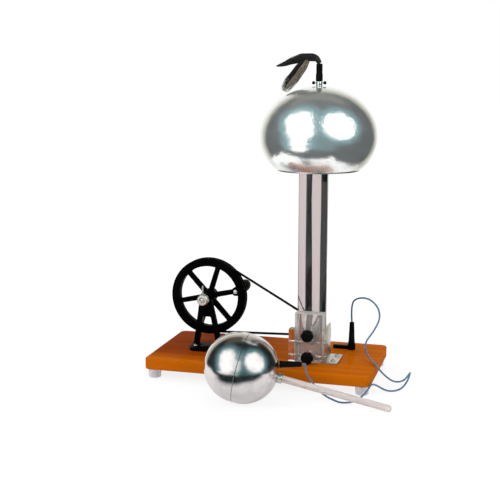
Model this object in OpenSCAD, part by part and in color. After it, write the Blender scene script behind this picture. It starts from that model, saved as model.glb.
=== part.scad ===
// Hand-driven electrostatic generator: a belt lifts charge up a clear column into a spun metal dome, and a
// discharge ball on a clear rod is joined to the board by a lead. Millimetres, Z up, standing on z = 0.
// Each piece is drawn about the centre of the base board, and place() moves it to the origin's place: the
// middle of the standing object's bounding box.

/* [Base board] */
// Length of the board along X
base_l = 420; // [400:5:460]
// Depth of the board along Y
base_w = 216; // [206:2:240]
// Thickness of the board
base_t = 20; // [16:1:26]
// Radius of the board's upright corners
base_corner_r = 12; // [6:1:16]
// Height of a foot
foot_h = 17; // [12:1:22]
// Diameter of a foot at the board
foot_d = 24.5; // [22:0.5:28]
// How much narrower a foot is at the floor
foot_taper = 2; // [0.5:0.5:4]
// Distance from the board's edges to a foot's axis
foot_inset = 16; // [14:1:22]

/* [Drive wheel] */
// X of the wheel's axis from the board's centre
wheel_x = -129.3; // [-135:0.1:-120]
// Y of the wheel's middle plane from the board's centre
wheel_y = 40.7; // [38:0.1:44]
// Height of the wheel's axis above the board
wheel_rise = 92.2; // [88:0.1:98]
// Outer radius of the rim
wheel_r = 74.75; // [70:0.25:78]
// Radial depth of the rim
rim_depth = 15.5; // [13:0.5:18]
// Width of the rim along the axle
rim_w = 15; // [13:1:18]
// Number of spokes
spoke_count = 6; // [5:1:8]
// Angle of the crank spoke above the horizontal
crank_angle = 12.5; // [0:0.5:45]
// Width of a spoke at the rim
spoke_w = 8.2; // [7:0.2:10]
// Thickness of the spokes along the axle
spoke_t = 6.5; // [5:0.5:9]
// Radius of the corners between spokes and rim
web_r = 3; // [2:0.5:5]
// Radius of the wheel's hub
hub_r = 13.5; // [12:0.5:15]
// Length of the wheel's hub
hub_l = 28; // [26:1:30]
// Radius of the wheel's bush
bush_r = 7; // [6:0.25:8]

/* [Wheel stand] */
// Front face of the stand's plate
plate_y = 12; // [10:1:14]
// Thickness of the stand's plate
plate_t = 12; // [10:0.5:12]
// Radius of the plate around the axle
plate_top_r = 10.5; // [10:0.5:12]
// Reach of the plate's left leg from the axle
plate_left = 24; // [22:0.5:30]
// Reach of the plate's right leg from the axle
plate_right = 31.5; // [24:0.5:34]
// Width of a leg of the plate at the board
leg_w = 9; // [8:0.5:11]
// Height of the opening between the legs
arch_h = 57; // [50:1:60]
// Reach of the opening's top to the left of the axle
arch_left = 5; // [3:0.5:6]
// Reach of the opening's top to the right of the axle
arch_right = 11; // [6:0.5:12]
// Thickness of the stand's foot
stand_foot_t = 5; // [4:0.5:7]
// How far the foot reaches in front of the plate's face
stand_foot_reach = 46; // [40:1:52]
// Half of the foot's width at its front
stand_foot_half = 18; // [16:0.5:24]
// Radius of the foot's front corners
stand_foot_r = 12; // [8:1:14]
// Radius of the bearing boss in front of the plate
boss_r = 10; // [9:0.5:11]
// Length of the bearing boss in front of the plate
boss_l = 8; // [6:0.5:10]
// Diameter of the wheel's axle
axle_d = 9; // [8:0.5:10]

/* [Clamp nut] */
// Diameter of the round nut that clamps the axle
clamp_nut_d = 22.4; // [20:0.2:24]
// Thickness of the clamp nut
clamp_nut_t = 10; // [8:1:12]
// Diameter of the tommy bar
tommy_d = 4; // [3:0.5:4.5]
// How far the tommy bar stands out of the nut
tommy_out = 17; // [12:1:20]

/* [Crank] */
// Radius of the crank pin's circle
crank_r = 56.5; // [50:0.5:57]
// Diameter of the crank pin
pin_d = 6; // [5:0.5:7]
// Diameter of the grip at its widest
grip_d = 24; // [20:1:28]
// Diameter of the grip at the wheel
grip_neck_d = 15; // [13:1:18]
// Length of the grip
grip_l = 61; // [50:1:66]

/* [Drive cord] */
// Diameter of the round drive cord
cord_d = 4.5; // [4:0.25:5]
// Radius of the cord's centre line on the wheel
cord_r = 71.4; // [67:0.1:73]
// Radius of the cord's centre line on the pulley
pulley_cord_r = 11; // [9:0.5:13]
// Width of the pulley
pulley_w = 10; // [9:0.5:12]

/* [Column] */
// X of the column's middle from the board's centre
column_x = 88.3; // [80:0.1:95]
// Width of the column
column_w = 52.2; // [48:0.2:58]
// Front face of the upright plate
upright_y = -28.8; // [-34:0.1:-24]
// Thickness of the upright plate
upright_t = 9; // [8:0.5:10]
// How far the upright reaches above the upper roller's axis
upright_top = 18; // [16:1:24]
// Height of the block that clamps the upright
block_h = 91; // [84:1:100]
// Depth of the clamp block
block_t = 21; // [18:1:24]
// Width of the side block
side_w = 11.7; // [10:0.1:14]
// Height of the side block
side_h = 60; // [50:1:64]
// Depth of the side block
side_t = 20; // [16:1:21]

/* [Angle bracket] */
// Thickness of the bracket's metal
bracket_t = 3; // [2:0.5:4]
// Height of the bracket
bracket_h = 62.5; // [60:0.5:70]
// Length of the bracket along Y
bracket_l = 63; // [60:1:68]
// How far the bracket stands in front of the clamp block
bracket_front = 4; // [2:0.5:6]
// Reach of the bracket's flange on the board
flange_w = 24; // [22:0.5:28]
// Height of the lower cross screws above the board
cross_low = 11; // [10:0.5:14]
// Height of the upper cross screws above the board
cross_high = 36; // [30:0.5:37]
// Distance between the two flange screws
flange_pitch = 35.5; // [30:1:40]

/* [Clamp knobs] */
// Diameter of a clamp knob
knob_d = 23; // [18:0.2:23]
// Thickness of a clamp knob
knob_t = 9.5; // [8:0.5:12]
// Length of the neck behind a clamp knob
neck_l = 10; // [8:0.5:12]
// Diameter of the neck
neck_d = 14; // [11:0.5:16]
// Height of the upper knob above the board
knob_high = 53; // [52:0.5:60]
// Height of the lower knob above the board
knob_low = 12; // [12:0.5:14]
// Diameter of a knob's stud
stud_d = 6; // [5:0.5:6]

/* [Rollers and belt] */
// Height of the lower roller's axis above the board
roller_low = 39; // [36:0.5:41]
// Distance between the two rollers' axes
roller_span = 361; // [340:1:380]
// Diameter of the rollers in the middle
roller_d = 25.5; // [23:0.5:27]
// Length of the rollers
roller_l = 46; // [42:1:48]
// How much smaller a roller's radius is at its ends
roller_crown = 0.4; // [0:0.1:0.8]
// Front of the belt
belt_y = -17; // [-18:0.5:-15]
// Width of the belt
belt_w = 47; // [42:1:49]
// Thickness of the belt
belt_t = 1; // [0.8:0.1:1.4]
// Diameter of the rollers' axles
roller_axle_d = 8; // [7:0.5:9]
// Diameter of the axles' collars
collar_d = 14; // [13:0.5:16]
// Width of the axles' collars
collar_w = 5; // [4:0.5:7]

/* [Combs] */
// Thickness of the combs' sheet metal
comb_t = 1; // [0.8:0.1:1.5]
// Number of teeth on a comb
comb_teeth = 12; // [8:1:14]
// Length of a tooth
tooth_l = 6; // [4:0.5:6]
// Gap between the teeth and the belt
comb_gap = 2.6; // [2:0.1:4]

/* [Dome] */
// X of the dome's axis from the board's centre
dome_x = 89.1; // [86:0.1:92]
// Y of the dome's axis from the board's centre
dome_y = 9.7; // [7:0.1:12]
// Radius of the dome at its widest
dome_r = 106.3; // [102:0.1:112]
// Height of the dome above its widest circle
dome_up = 90.5; // [84:0.5:98]
// Height of the dome below its widest circle
dome_down = 57.5; // [54:0.5:62]
// Radius of the dome's flat under face
dome_rim_r = 76.4; // [72:0.2:80]
// Radius of the dome's mouth
dome_mouth_r = 58; // [57:0.5:62]
// Thickness of the dome's metal
dome_t = 1.2; // [1:0.1:2]
// Radius of the carrier ring under the dome
ring_r = 74; // [70:0.5:76]
// Thickness of the carrier ring
ring_t = 2.5; // [2:0.5:4]
// How far a cleat stands out from the upright
cleat_w = 12; // [10:0.5:13]
// Height of a cleat
cleat_h = 20; // [18:1:22]

/* [Plume] */
// Diameter of the plume's socket
socket_d = 11.4; // [10:0.2:14]
// Height of the plume's socket above the dome
socket_h = 7.6; // [7.4:0.2:10]
// Diameter of the plume's post
post_d = 5; // [4:0.5:6]
// Diameter of the balls on the cross pin
pin_ball_d = 6; // [5:0.5:7]
// Distance between the balls on the cross pin
pin_ball_pitch = 20.5; // [18:0.5:22]
// Diameter of the sleeve round the hair
sleeve_d = 12.4; // [11:0.2:14]
// Length of the sleeve
sleeve_l = 31; // [26:1:36]

/* [Discharge wand] */
// X of the ball's centre from the board's centre
ball_x = 2; // [0:0.1:10]
// Y of the ball's centre from the board's centre
ball_y = -191.3; // [-200:0.1:-186]
// Radius of the ball's two half shells
ball_r = 60.3; // [58:0.1:64]
// Length of the straight band between the half shells
ball_band = 8.7; // [6:0.1:11]
// Thickness of the ball's metal
ball_t = 1; // [0.8:0.1:1.5]
// Angle of the rod from the X axis, seen from above
rod_turn = 3.8; // [3:0.1:6]
// Diameter of the rod
rod_d = 12; // [10:0.5:14]
// Distance from the ball's centre to the middle of the rod's round end
rod_reach = 256; // [240:1:270]
// Diameter of the ferrule that holds the rod
ferrule_d = 17; // [16:0.5:20]
// How far the ferrule stands out of the ball
ferrule_out = 8; // [6:0.5:12]

/* [Terminal and plugs] */
// X of the terminal's socket from the board's centre
terminal_x = 148; // [144:1:152]
// Y of the terminal's socket from the board's centre
terminal_y = 60; // [56:1:64]
// Diameter of the terminal's collar
terminal_d = 15; // [13:0.5:17]
// Height of the terminal's collar
terminal_h = 11; // [9:0.5:13]
// Length of the terminal's bar
terminal_l = 35; // [30:1:38]
// Diameter of a plug's pin
plug_pin_d = 4; // [3.5:0.25:4.5]
// Depth of the plug's pin in a socket
plug_pin_l = 18; // [14:1:20]
// Diameter of a plug at its socket
plug_d = 13; // [11:0.5:14]
// Diameter of a plug at its lead
plug_tail_d = 9; // [7:0.5:10]
// Length of the terminal's plug
plug_l = 42.5; // [38:0.5:48]
// Length of the ball's plug
ball_plug_l = 38; // [32:0.5:44]
// Angle of the ball's socket from the X axis, seen from above
plug_turn = 14; // [10:0.5:20]
// Height of the ball's socket above the ball's centre
plug_rise = 6.5; // [4:0.5:9]
// Diameter of the lead
lead_d = 3.3; // [3:0.1:3.8]

/* [Screws and fits] */
// Diameter of the screws' shanks
screw_d = 4; // [3.5:0.25:4]
// Diameter of the screws' heads
screw_head_d = 8; // [7:0.5:8.5]
// Height of the screws' heads
screw_head_h = 2.6; // [2:0.2:3]
// Radial clearance of everything that turns or slides on a pin
run_gap = 0.05; // [0.03:0.01:0.08]
// Radial clearance of a screw in its hole
hole_gap = 0.05; // [0.03:0.01:0.1]
// Gap between the belt or cord and what carries it
belt_gap = 0.3; // [0.2:0.05:0.5]
// Gap between faces that move past each other
face_gap = 0.4; // [0.2:0.1:0.8]

/* [Hidden] */
$fn = 64;

// How deep screws, studs, pins and the plume's post go into what holds them
foot_screw_in = 14;
board_screw_in = 14;
cross_in = 14;
stud_in = 9;
cleat_screw_in = 7;
ring_screw_in = 9;
post_in = 6.6;
plug_seat = 3;
hair_seat = 7;

// Heights
board_z = foot_h + base_t;
axle_z = board_z + wheel_rise;
low_z = board_z + roller_low;
high_z = low_z + roller_span;

// Drive wheel, stand and crank
rim_in_r = wheel_r - rim_depth;
groove_r = cord_d / 2 + belt_gap;
plate_back = plate_y + plate_t;
hub_y = wheel_y - hub_l / 2;
hub_back = hub_y + hub_l;
boss_y = plate_y - boss_l;
nut_y = boss_y - clamp_nut_t - face_gap;
axle_front = nut_y + 1;
end_nut_t = 5;
foot_front = plate_y - stand_foot_reach;
foot_recess = 8;
crank_x = wheel_x + crank_r * cos(crank_angle);
crank_z = axle_z + crank_r * sin(crank_angle);
crank_boss_r = pin_d / 2 + 5.5;
grip_y = wheel_y + rim_w / 2 + face_gap;
cap_seat = 5;
cap_t = 3;
cap_hole_r = 7;
stand_screw_left = [-12.5, 23];
stand_screw_right = [-7, -8];

// Column
column_low = column_x - column_w / 2;
column_high = column_x + column_w / 2;
upright_back = upright_y + upright_t;
block_y = upright_y - block_t;
bracket_y = block_y - bracket_front;
leg_x = column_high + bracket_t;
side_x = column_low - side_w;
cross_y = block_y + 7;
flange_edge = 10.5;
flange_shift = 4;
flange_x = leg_x + flange_w - flange_edge;

// Rollers and belt
belt_r = roller_d / 2 + belt_gap;
belt_side = belt_r + belt_t;
roller_y = belt_y + (belt_w - roller_l) / 2;
roller_back = roller_y + roller_l;
pulley_y = wheel_y - pulley_w / 2;
low_axle_front = block_y + 9;
collar_y = upright_y - collar_w - face_gap;
high_axle_front = collar_y - 2;

// Dome
belly_rise = 4.7;
ring_z = high_z + belly_rise - dome_down - ring_t;
dome_z = ring_z + ring_t + dome_down;
dome_top = dome_z + dome_up;
column_gap = 1.5;
post_hole_r = 3.2;
pin_rise = 5.6;
hair_root_r = 4.6;
post_z = dome_top + socket_h - post_in;
sleeve_z = dome_top + socket_h;
post_rise = post_in + face_gap + sleeve_l - hair_seat - 0.5;

// Discharge wand: the rod's round end and the ball both rest on the floor
rod_sin = (ball_r - rod_d / 2) / (rod_reach - ball_band / 2);
rod_droop = asin(rod_sin);
ball_z = ball_r + ball_band / 2 * rod_sin;
plug_at = [0, 0, plug_rise];
plug_way = [cos(plug_turn), sin(plug_turn), 0];
plug_side = [-sin(plug_turn), cos(plug_turn), 0];
near_at = ball_band / 2 * [cos(rod_droop) * cos(rod_turn), cos(rod_droop) * sin(rod_turn), -rod_sin];
socket_seat = shell_reach(plug_at);
plug_gap = max([for (a = [0:15:345])
    shell_reach(plug_at + plug_d / 2 * (cos(a) * plug_side + sin(a) * [0, 0, 1]))]) - socket_seat + face_gap;
socket_l = plug_pin_l + 2;
flat_w = 8;
rod_in = 12;

// Origin
low_x = -base_l / 2;
high_x = ball_x + (rod_reach * cos(rod_droop) + rod_d / 2) * cos(rod_turn);
low_y = ball_y - ball_r;
high_y = dome_y + dome_r;
mid_x = (low_x + high_x) / 2;
mid_y = (low_y + high_y) / 2;

// The hair's two locks, each point with the lock's half width there
hair_long = [[0, -6, 4.4], [0, 0, 4.5], [-1.7, 4.8, 5.2], [-5.8, 9, 6.7], [-12, 10.8, 8.2], [-21.5, 11, 9],
    [-31, 10.4, 9.3], [-40, 8, 8.7], [-50.6, 4.8, 7.5], [-62, 0.6, 5.6], [-72.5, -2.7, 3], [-78.7, -4, 1.2]];
hair_short = [[-21.5, 10, 6], [-29, -1, 9.5], [-37, -11.5, 11.5], [-46.5, -24, 11.3], [-56, -34.5, 9.5],
    [-62, -42.7, 7], [-65, -50, 2]];

// The lead's route: up out of the terminal's plug, over the board's edge, round in a raised loop, past the
// board's corner, along the floor and up into the ball's plug
lead_way = [[147, 60, 110], [150, 60, 130], [163, 59, 138], [180, 57, 137], [194, 54, 127], [201, 50, 114],
    [201, 43, 99], [192, 32, 80], [183, 19, 66], [184, 3, 54], [195, -17, 44], [204, -33, 42], [214, -50, 39],
    [225, -53, 28], [238, -42, 14], [248, -30, 8], [257, -15, 7], [264, -9, 14], [268, -13, 21], [269, -22, 23],
    [268, -31, 17], [263, -45, 8], [255, -58, 3], [242, -68, 2], [230, -72, 5], [220, -83, 14], [214, -95, 20],
    [211, -106, 21], [207, -119, 15], [199, -130, 7], [189, -143, 2.4], [175, -153, 2], [163, -152, 2],
    [150, -141, 2], [140, -138, 5], [128, -148, 18], [118, -158, 36], [109, -164.5, 54]];

function unit(v) = v / norm(v);

// How far from a point, along the plug's axis, the near half shell's surface lies
function shell_reach(from) =
    let (gap = from - near_at, along = gap * plug_way)
    sqrt(ball_r * ball_r - gap * gap + along * along) - along;

function arc(r, from, to, steps, at = [0, 0]) =
    [for (i = [0:steps]) at + r * [cos(from + (to - from) * i / steps), sin(from + (to - from) * i / steps)]];

function ellipse_arc(rx, ry, from, to, steps) =
    [for (i = [0:steps]) let (a = from + (to - from) * i / steps) [rx * cos(a), ry * sin(a)]];

// The arc of radius r that rounds the corner at b between a and c
function round_corner(a, b, c, r, steps = 5) =
    let (u = unit(a - b), v = unit(c - b), half = acos(u * v) / 2)
    let (centre = b + unit(u + v) * r / sin(half), from = b + u * r / tan(half) - centre)
    let (to = b + v * r / tan(half) - centre, swing = 180 - 2 * half)
    [for (i = [0:steps])
        centre + (from * sin(swing * (1 - i / steps)) + to * sin(swing * i / steps)) / sin(swing)];

// An outline whose corners are rounded by the radii in rounds, with 0 for a sharp one
function rounded(p, rounds) =
    let (n = len(p))
    [for (i = [0:n - 1])
        each rounds[i] > 0 ? round_corner(p[(i + n - 1) % n], p[i], p[(i + 1) % n], rounds[i]) : [p[i]]];

function box_outline(l, w) = [[-l / 2, -w / 2], [l / 2, -w / 2], [l / 2, w / 2], [-l / 2, w / 2]];

// A smooth curve through points of any width, with steps pieces between neighbours
function curve(p, steps) =
    let (n = len(p))
    [for (i = [0:n - 2], j = [0:steps - 1])
        let (a = p[max(i - 1, 0)], b = p[i], c = p[i + 1], d = p[min(i + 2, n - 1)], t = j / steps)
        (2 * b + (c - a) * t + (2 * a - 5 * b + 4 * c - d) * t * t + (3 * b - a - 3 * c + d) * t * t * t) / 2,
     p[n - 1]];

module place() {
    translate([-mid_x, -mid_y, 0]) children();
}

// A cylinder along Y
module along_y(r, y, l, x = 0, z = 0) {
    translate([x, y, z]) rotate([-90, 0, 0]) cylinder(r = r, h = l);
}

// A cylinder along X
module along_x(r, x, l, y = 0, z = 0) {
    translate([x, y, z]) rotate([0, 90, 0]) cylinder(r = r, h = l);
}

// A cuboid from its low corner to its high one
module cuboid(low, high) {
    translate(low) cube(high - low);
}

// A round-headed screw along +Z: its head's seat is at the origin and its shank goes down
module screw(l) {
    rotate_extrude() polygon(concat([[0, -l], [screw_d / 2 - 0.5, -l], [screw_d / 2, -l + 0.5],
        [screw_d / 2, 0], [screw_head_d / 2, 0]], ellipse_arc(screw_head_d / 2, screw_head_h, 15, 90, 6)));
}

module screw_hole(l) {
    translate([0, 0, -l]) cylinder(r = screw_d / 2 + hole_gap, h = l);
}

// A tube swept along a route, with sides faces, whose half width at each point is in widths
module sweep(route, widths, sides) {
    n = len(route);
    ways = [for (i = [0:n - 1]) unit(route[min(i + 1, n - 1)] - route[max(i - 1, 0)])];
    first = unit(cross(ways[0], [0.31, 0.95, 0.07]));
    outs = [for (i = 0, u = first; i < n; i = i + 1, u = i < n ? unit(u - (u * ways[i]) * ways[i]) : u) u];
    points = [for (i = [0:n - 1], k = [0:sides - 1])
        let (v = cross(ways[i], outs[i]), a = 360 * k / sides)
        route[i] + widths[i] * (cos(a) * outs[i] + sin(a) * v)];
    skin = [for (i = [0:n - 2], k = [0:sides - 1], half = [0, 1])
        let (a = i * sides + k, b = i * sides + (k + 1) % sides)
        half == 0 ? [a, a + sides, b] : [b, a + sides, b + sides]];
    start = [for (k = [0:sides - 1]) k];
    end = [for (k = [sides - 1:-1:0]) (n - 1) * sides + k];
    polyhedron(points = points, faces = concat(skin, [start, end]));
}

// ---- Base ----

module at_feet() {
    for (x = [-1, 1], y = [-1, 1])
        translate([x * (base_l / 2 - foot_inset), y * (base_w / 2 - foot_inset), 0]) children();
}

// Where the board is drilled from above: each screw's place on the board
module at_board_screws() {
    at_stand_screws() children();
    at_flange_screws() children();
}

module base_board() {
    color("saddlebrown") place() difference() {
        translate([0, 0, foot_h]) linear_extrude(base_t)
            polygon(rounded(box_outline(base_l, base_w), [for (i = [1:4]) base_corner_r]));
        at_feet() translate([0, 0, foot_h + foot_screw_in]) screw_hole(foot_screw_in + 1);
        at_board_screws() translate([0, 0, board_z]) screw_hole(board_screw_in);
    }
}

module feet() {
    color([0.87, 0.86, 0.82, 0.6]) place() at_feet() difference() {
        cylinder(r1 = (foot_d - foot_taper) / 2, r2 = foot_d / 2, h = foot_h);
        translate([0, 0, foot_h]) screw_hole(foot_h + 1);
        translate([0, 0, -1]) cylinder(r = screw_head_d / 2 + 1, h = foot_recess + 1);
    }
}

module foot_screws() {
    color("silver") place() at_feet()
        translate([0, 0, foot_recess]) rotate([180, 0, 0]) screw(foot_h - foot_recess + foot_screw_in);
}

// ---- Wheel stand ----

module at_stand_screws() {
    translate([wheel_x, foot_front, 0]) translate(stand_screw_left) children();
    translate([wheel_x + plate_right, plate_y, 0]) translate(stand_screw_right) children();
}

// The plate's outline about the axle: two legs from the board up to a round head
function plate_outline() =
    let (drop = wheel_rise, r = plate_top_r)
    let (left = atan2(plate_left, drop) - asin(r / norm([plate_left, drop])))
    let (right = atan2(plate_right, drop) - asin(r / norm([plate_right, drop])))
    concat([[-plate_left, -drop]], arc(r, 180 - left, right, 16), [[plate_right, -drop]],
        rounded([[plate_right - leg_w, -drop], [arch_right, arch_h - drop],
            [-arch_left, arch_h - drop], [leg_w - plate_left, -drop]], [0, 2.5, 2.5, 0]));

// The foot about the axle, with its rear end open between the legs
module stand_foot() {
    linear_extrude(stand_foot_t) polygon(rounded([
        [-plate_left, plate_back], [-plate_left, plate_y], [-stand_foot_half, foot_front],
        [stand_foot_half, foot_front], [plate_right, plate_y - 12], [plate_right, plate_back],
        [plate_right - leg_w, plate_back], [plate_right - leg_w, plate_y - 1],
        [leg_w - plate_left, plate_y - 1], [leg_w - plate_left, plate_back]],
        [0, 2, stand_foot_r, stand_foot_r, 3, 0, 0, 2, 2, 0]));
}

module wheel_stand() {
    color([0.09, 0.09, 0.1]) place() difference() {
        union() {
            translate([wheel_x, plate_back, axle_z]) rotate([90, 0, 0])
                linear_extrude(plate_t) polygon(plate_outline());
            translate([wheel_x, 0, board_z]) stand_foot();
            along_y(boss_r, boss_y, boss_l + 1, wheel_x, axle_z);
        }
        along_y(axle_d / 2 + hole_gap, boss_y - 1, boss_l + plate_t + 2, wheel_x, axle_z);
        at_stand_screws() translate([0, 0, board_z + stand_foot_t]) screw_hole(stand_foot_t + 1);
    }
}

module stand_screws() {
    color("silver") place() at_stand_screws()
        translate([0, 0, board_z + stand_foot_t]) screw(stand_foot_t + board_screw_in - 1);
}

module drive_axle() {
    length = hub_back + face_gap + end_nut_t + 1 - axle_front;
    color("silver") place() translate([wheel_x, axle_front, axle_z]) rotate([-90, 0, 0])
        rotate_extrude() polygon([[0, 0], [axle_d / 2 - 0.8, 0], [axle_d / 2, 0.8], [axle_d / 2, length - 0.8],
            [axle_d / 2 - 0.8, length], [0, length]]);
}

module axle_end_nut() {
    color("dimgray") place() difference() {
        translate([wheel_x, hub_back + face_gap, axle_z]) rotate([-90, 0, 0])
            cylinder(r = axle_d * 0.9, h = end_nut_t, $fn = 6);
        along_y(axle_d / 2, hub_back, end_nut_t + 2, wheel_x, axle_z);
    }
}

module clamp_nut() {
    r = clamp_nut_d / 2;
    t = clamp_nut_t;
    color("gainsboro") place() difference() {
        translate([wheel_x, nut_y, axle_z]) rotate([-90, 0, 0]) rotate_extrude()
            polygon([[axle_d / 2 + run_gap, 1], [axle_d / 2 + 1, 0], [r - 2, 0], [r, 2], [r, t - 1], [r - 1, t],
                [axle_d / 2 + run_gap, t]]);
        translate([wheel_x, nut_y + t / 2, axle_z + r - 4]) cylinder(r = tommy_d / 2, h = 6);
    }
}

module tommy_bar() {
    color("silver") place()
        translate([wheel_x, nut_y + clamp_nut_t / 2, axle_z + clamp_nut_d / 2 - 4]) rotate_extrude()
            polygon(concat([[0, 0], [tommy_d / 2, 0]],
                arc(tommy_d / 2, 0, 90, 6, [0, 2 + tommy_out])));
}

// ---- Drive wheel and crank ----

module rim() {
    half = rim_w / 2;
    mouth = groove_r + 1.6;
    rotate_extrude() polygon(concat([[rim_in_r, -half], [wheel_r - 1, -half], [wheel_r, 1 - half],
        [wheel_r, -mouth]], arc(groove_r, -90, -270, 12, [cord_r, 0]),
        [[wheel_r, mouth], [wheel_r, half - 1], [wheel_r - 1, half], [rim_in_r, half]]));
}

// One opening between two spokes, with its middle along X
module web_window() {
    swing = 180 / spoke_count;
    inset = asin((spoke_w / 2 + 0.4) / rim_in_r);
    root = (spoke_w / 2 + 0.9) / sin(swing);
    near = max(root, hub_r + 0.5);
    edge = arc(rim_in_r + 0.5, inset - swing, swing - inset, 8);
    corner = asin((spoke_w / 2 + 0.9) / near);
    low = near * [cos(swing - corner), -sin(swing - corner)];
    high = [low[0], -low[1]];
    polygon(rounded(concat([low], edge, [high]), concat([2], [web_r], [for (i = [1:7]) 0], [web_r], [2])));
}

module drive_wheel() {
    color([0.08, 0.08, 0.09]) place() translate([wheel_x, wheel_y, axle_z]) rotate([90, 0, 0]) difference() {
        union() {
            rim();
            translate([0, 0, -spoke_t / 2]) linear_extrude(spoke_t) difference() {
                circle(r = rim_in_r + 1);
                for (i = [0:spoke_count - 1])
                    rotate(crank_angle + 360 / spoke_count * (i + 0.5)) web_window();
            }
            translate([0, 0, -hub_l / 2]) cylinder(r = hub_r, h = hub_l);
            rotate(crank_angle) translate([crank_r, 0, -rim_w / 2]) cylinder(r = crank_boss_r, h = rim_w);
        }
        translate([0, 0, -hub_l]) cylinder(r = bush_r, h = 2 * hub_l);
        rotate(crank_angle) translate([crank_r, 0, -rim_w]) cylinder(r = pin_d / 2, h = 2 * rim_w);
    }
}

// The bush stands out of the hub in front, up to the stand's plate
module wheel_bush() {
    front = plate_back + face_gap;
    color("goldenrod") place() difference() {
        along_y(bush_r, front, hub_back - front, wheel_x, axle_z);
        along_y(axle_d / 2 + run_gap, front - 1, hub_back - front + 2, wheel_x, axle_z);
    }
}

module crank_pin() {
    head_y = wheel_y - rim_w / 2;
    end_y = grip_y + grip_l - cap_seat;
    color("silver") place() {
        along_y(pin_d / 2, head_y - 1, end_y - head_y + 1 + cap_t, crank_x, crank_z);
        along_y(pin_d / 2 + 1, head_y - 2.5, 2.5, crank_x, crank_z);
    }
}

module crank_grip() {
    widest = grip_l * 0.66;
    bore = pin_d / 2 + run_gap;
    flare = grip_d / 2 - grip_neck_d / 2;
    side = [for (i = [0:10]) let (t = i / 10)
        [grip_neck_d / 2 + flare * (1 - cos(180 * t)) / 2, 1.5 + (widest - 1.5) * t]];
    tail = ellipse_arc(grip_d / 2 - cap_hole_r, grip_l - widest, 9, 90, 8);
    color([0.06, 0.06, 0.06]) place() translate([crank_x, grip_y, crank_z]) rotate([-90, 0, 0])
        rotate_extrude() polygon(concat([[bore, 0], [grip_neck_d / 2 - 1, 0]], side,
            [for (p = tail) [p[0] + cap_hole_r, p[1] + widest]],
            [[cap_hole_r, grip_l - cap_seat], [bore, grip_l - cap_seat]]));
}

module grip_cap() {
    y = grip_y + grip_l - cap_seat + face_gap;
    color("silver") place() difference() {
        along_y(cap_hole_r - 1, y, cap_t, crank_x, crank_z);
        along_y(pin_d / 2, y - 1, cap_t + 2, crank_x, crank_z);
    }
}

// The cord's closed loop round the wheel and the pulley, crossed by no turn
module drive_cord() {
    gap = [column_x - wheel_x, low_z - axle_z];
    slope = atan2(gap[1], gap[0]);
    lean = asin((cord_r - pulley_cord_r) / norm(gap));
    big = arc(cord_r, slope + 90 - lean, slope + 270 + lean, 34);
    small = arc(pulley_cord_r, slope - 90 + lean, slope + 90 - lean, 12, gap);
    loop = concat(big, small);
    n = len(loop);
    sides = 8;
    points = [for (i = [0:n - 1], k = [0:sides - 1])
        let (way = unit(loop[(i + 1) % n] - loop[(i + n - 1) % n]), out = [way[1], -way[0]], a = 360 * k / sides)
        let (flat = loop[i] + cord_d / 2 * cos(a) * out)
        [flat[0], cord_d / 2 * sin(a), flat[1]]];
    skin = [for (i = [0:n - 1], k = [0:sides - 1], half = [0, 1])
        let (a = i * sides + k, b = i * sides + (k + 1) % sides, c = ((i + 1) % n) * sides + k)
        let (d = ((i + 1) % n) * sides + (k + 1) % sides)
        half == 0 ? [a, b, c] : [b, d, c]];
    color([0.1, 0.1, 0.1]) place() translate([wheel_x, wheel_y, axle_z])
        polyhedron(points = points, faces = skin);
}

// ---- Column ----

module at_cross_screws() {
    for (rise = [cross_low, cross_high]) translate([0, cross_y, board_z + rise]) children();
}

module upright() {
    color([0.8, 0.84, 0.84, 0.45]) place() difference() {
        cuboid([column_low, upright_y, board_z], [column_high, upright_back, high_z + upright_top]);
        along_y(roller_axle_d / 2 + run_gap, upright_y - 1, upright_t + 2, column_x, low_z);
        along_y(roller_axle_d / 2 + run_gap, upright_y - 1, upright_t + 2, column_x, high_z);
        for (rise = [knob_low, knob_high])
            along_y(stud_d / 2 + run_gap, upright_y - 1, upright_t + 2, column_x, board_z + rise);
        at_cleat_screws() screw_hole(cleat_screw_in);
    }
}

module clamp_block() {
    color([0.8, 0.82, 0.8, 0.45]) place() difference() {
        cuboid([column_low, block_y, board_z], [column_high, upright_y, board_z + block_h]);
        along_y(roller_axle_d / 2 + run_gap, low_axle_front - 1, block_t, column_x, low_z);
        for (rise = [knob_low, knob_high])
            along_y(stud_d / 2 + run_gap, block_y - 1, block_t + 2, column_x, board_z + rise);
        at_cross_screws() {
            along_x(screw_d / 2 + hole_gap, column_low - 1, 1 + cross_in);
            along_x(screw_d / 2 + hole_gap, column_high - cross_in, 1 + cross_in);
        }
    }
}

module side_block() {
    color([0.8, 0.8, 0.72, 0.45]) place() difference() {
        cuboid([side_x, block_y, board_z], [column_low, block_y + side_t, board_z + side_h]);
        at_cross_screws() along_x(screw_d / 2 + hole_gap, side_x - 1, side_w + 2);
    }
}

module side_screws() {
    color("silver") place() at_cross_screws() translate([side_x, 0, 0]) rotate([0, -90, 0])
        screw(side_w + cross_in - 1);
}

module angle_bracket() {
    color([0.66, 0.64, 0.6]) place() difference() {
        union() {
            cuboid([column_high, bracket_y, board_z], [leg_x, bracket_y + bracket_l, board_z + bracket_h]);
            cuboid([leg_x - 1, bracket_y, board_z], [leg_x + flange_w, bracket_y + bracket_l,
                board_z + bracket_t]);
        }
        at_cross_screws() along_x(screw_d / 2 + hole_gap, column_high - 1, bracket_t + 2);
        at_flange_screws() translate([0, 0, board_z + bracket_t]) screw_hole(bracket_t + 1);
    }
}

module leg_screws() {
    color("silver") place() at_cross_screws() translate([leg_x, 0, 0]) rotate([0, 90, 0])
        screw(bracket_t + cross_in - 1);
}

module at_flange_screws() {
    middle = bracket_y + bracket_l / 2 + flange_shift;
    for (side = [-1, 1]) translate([flange_x, middle + side * flange_pitch / 2, 0]) children();
}

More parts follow.
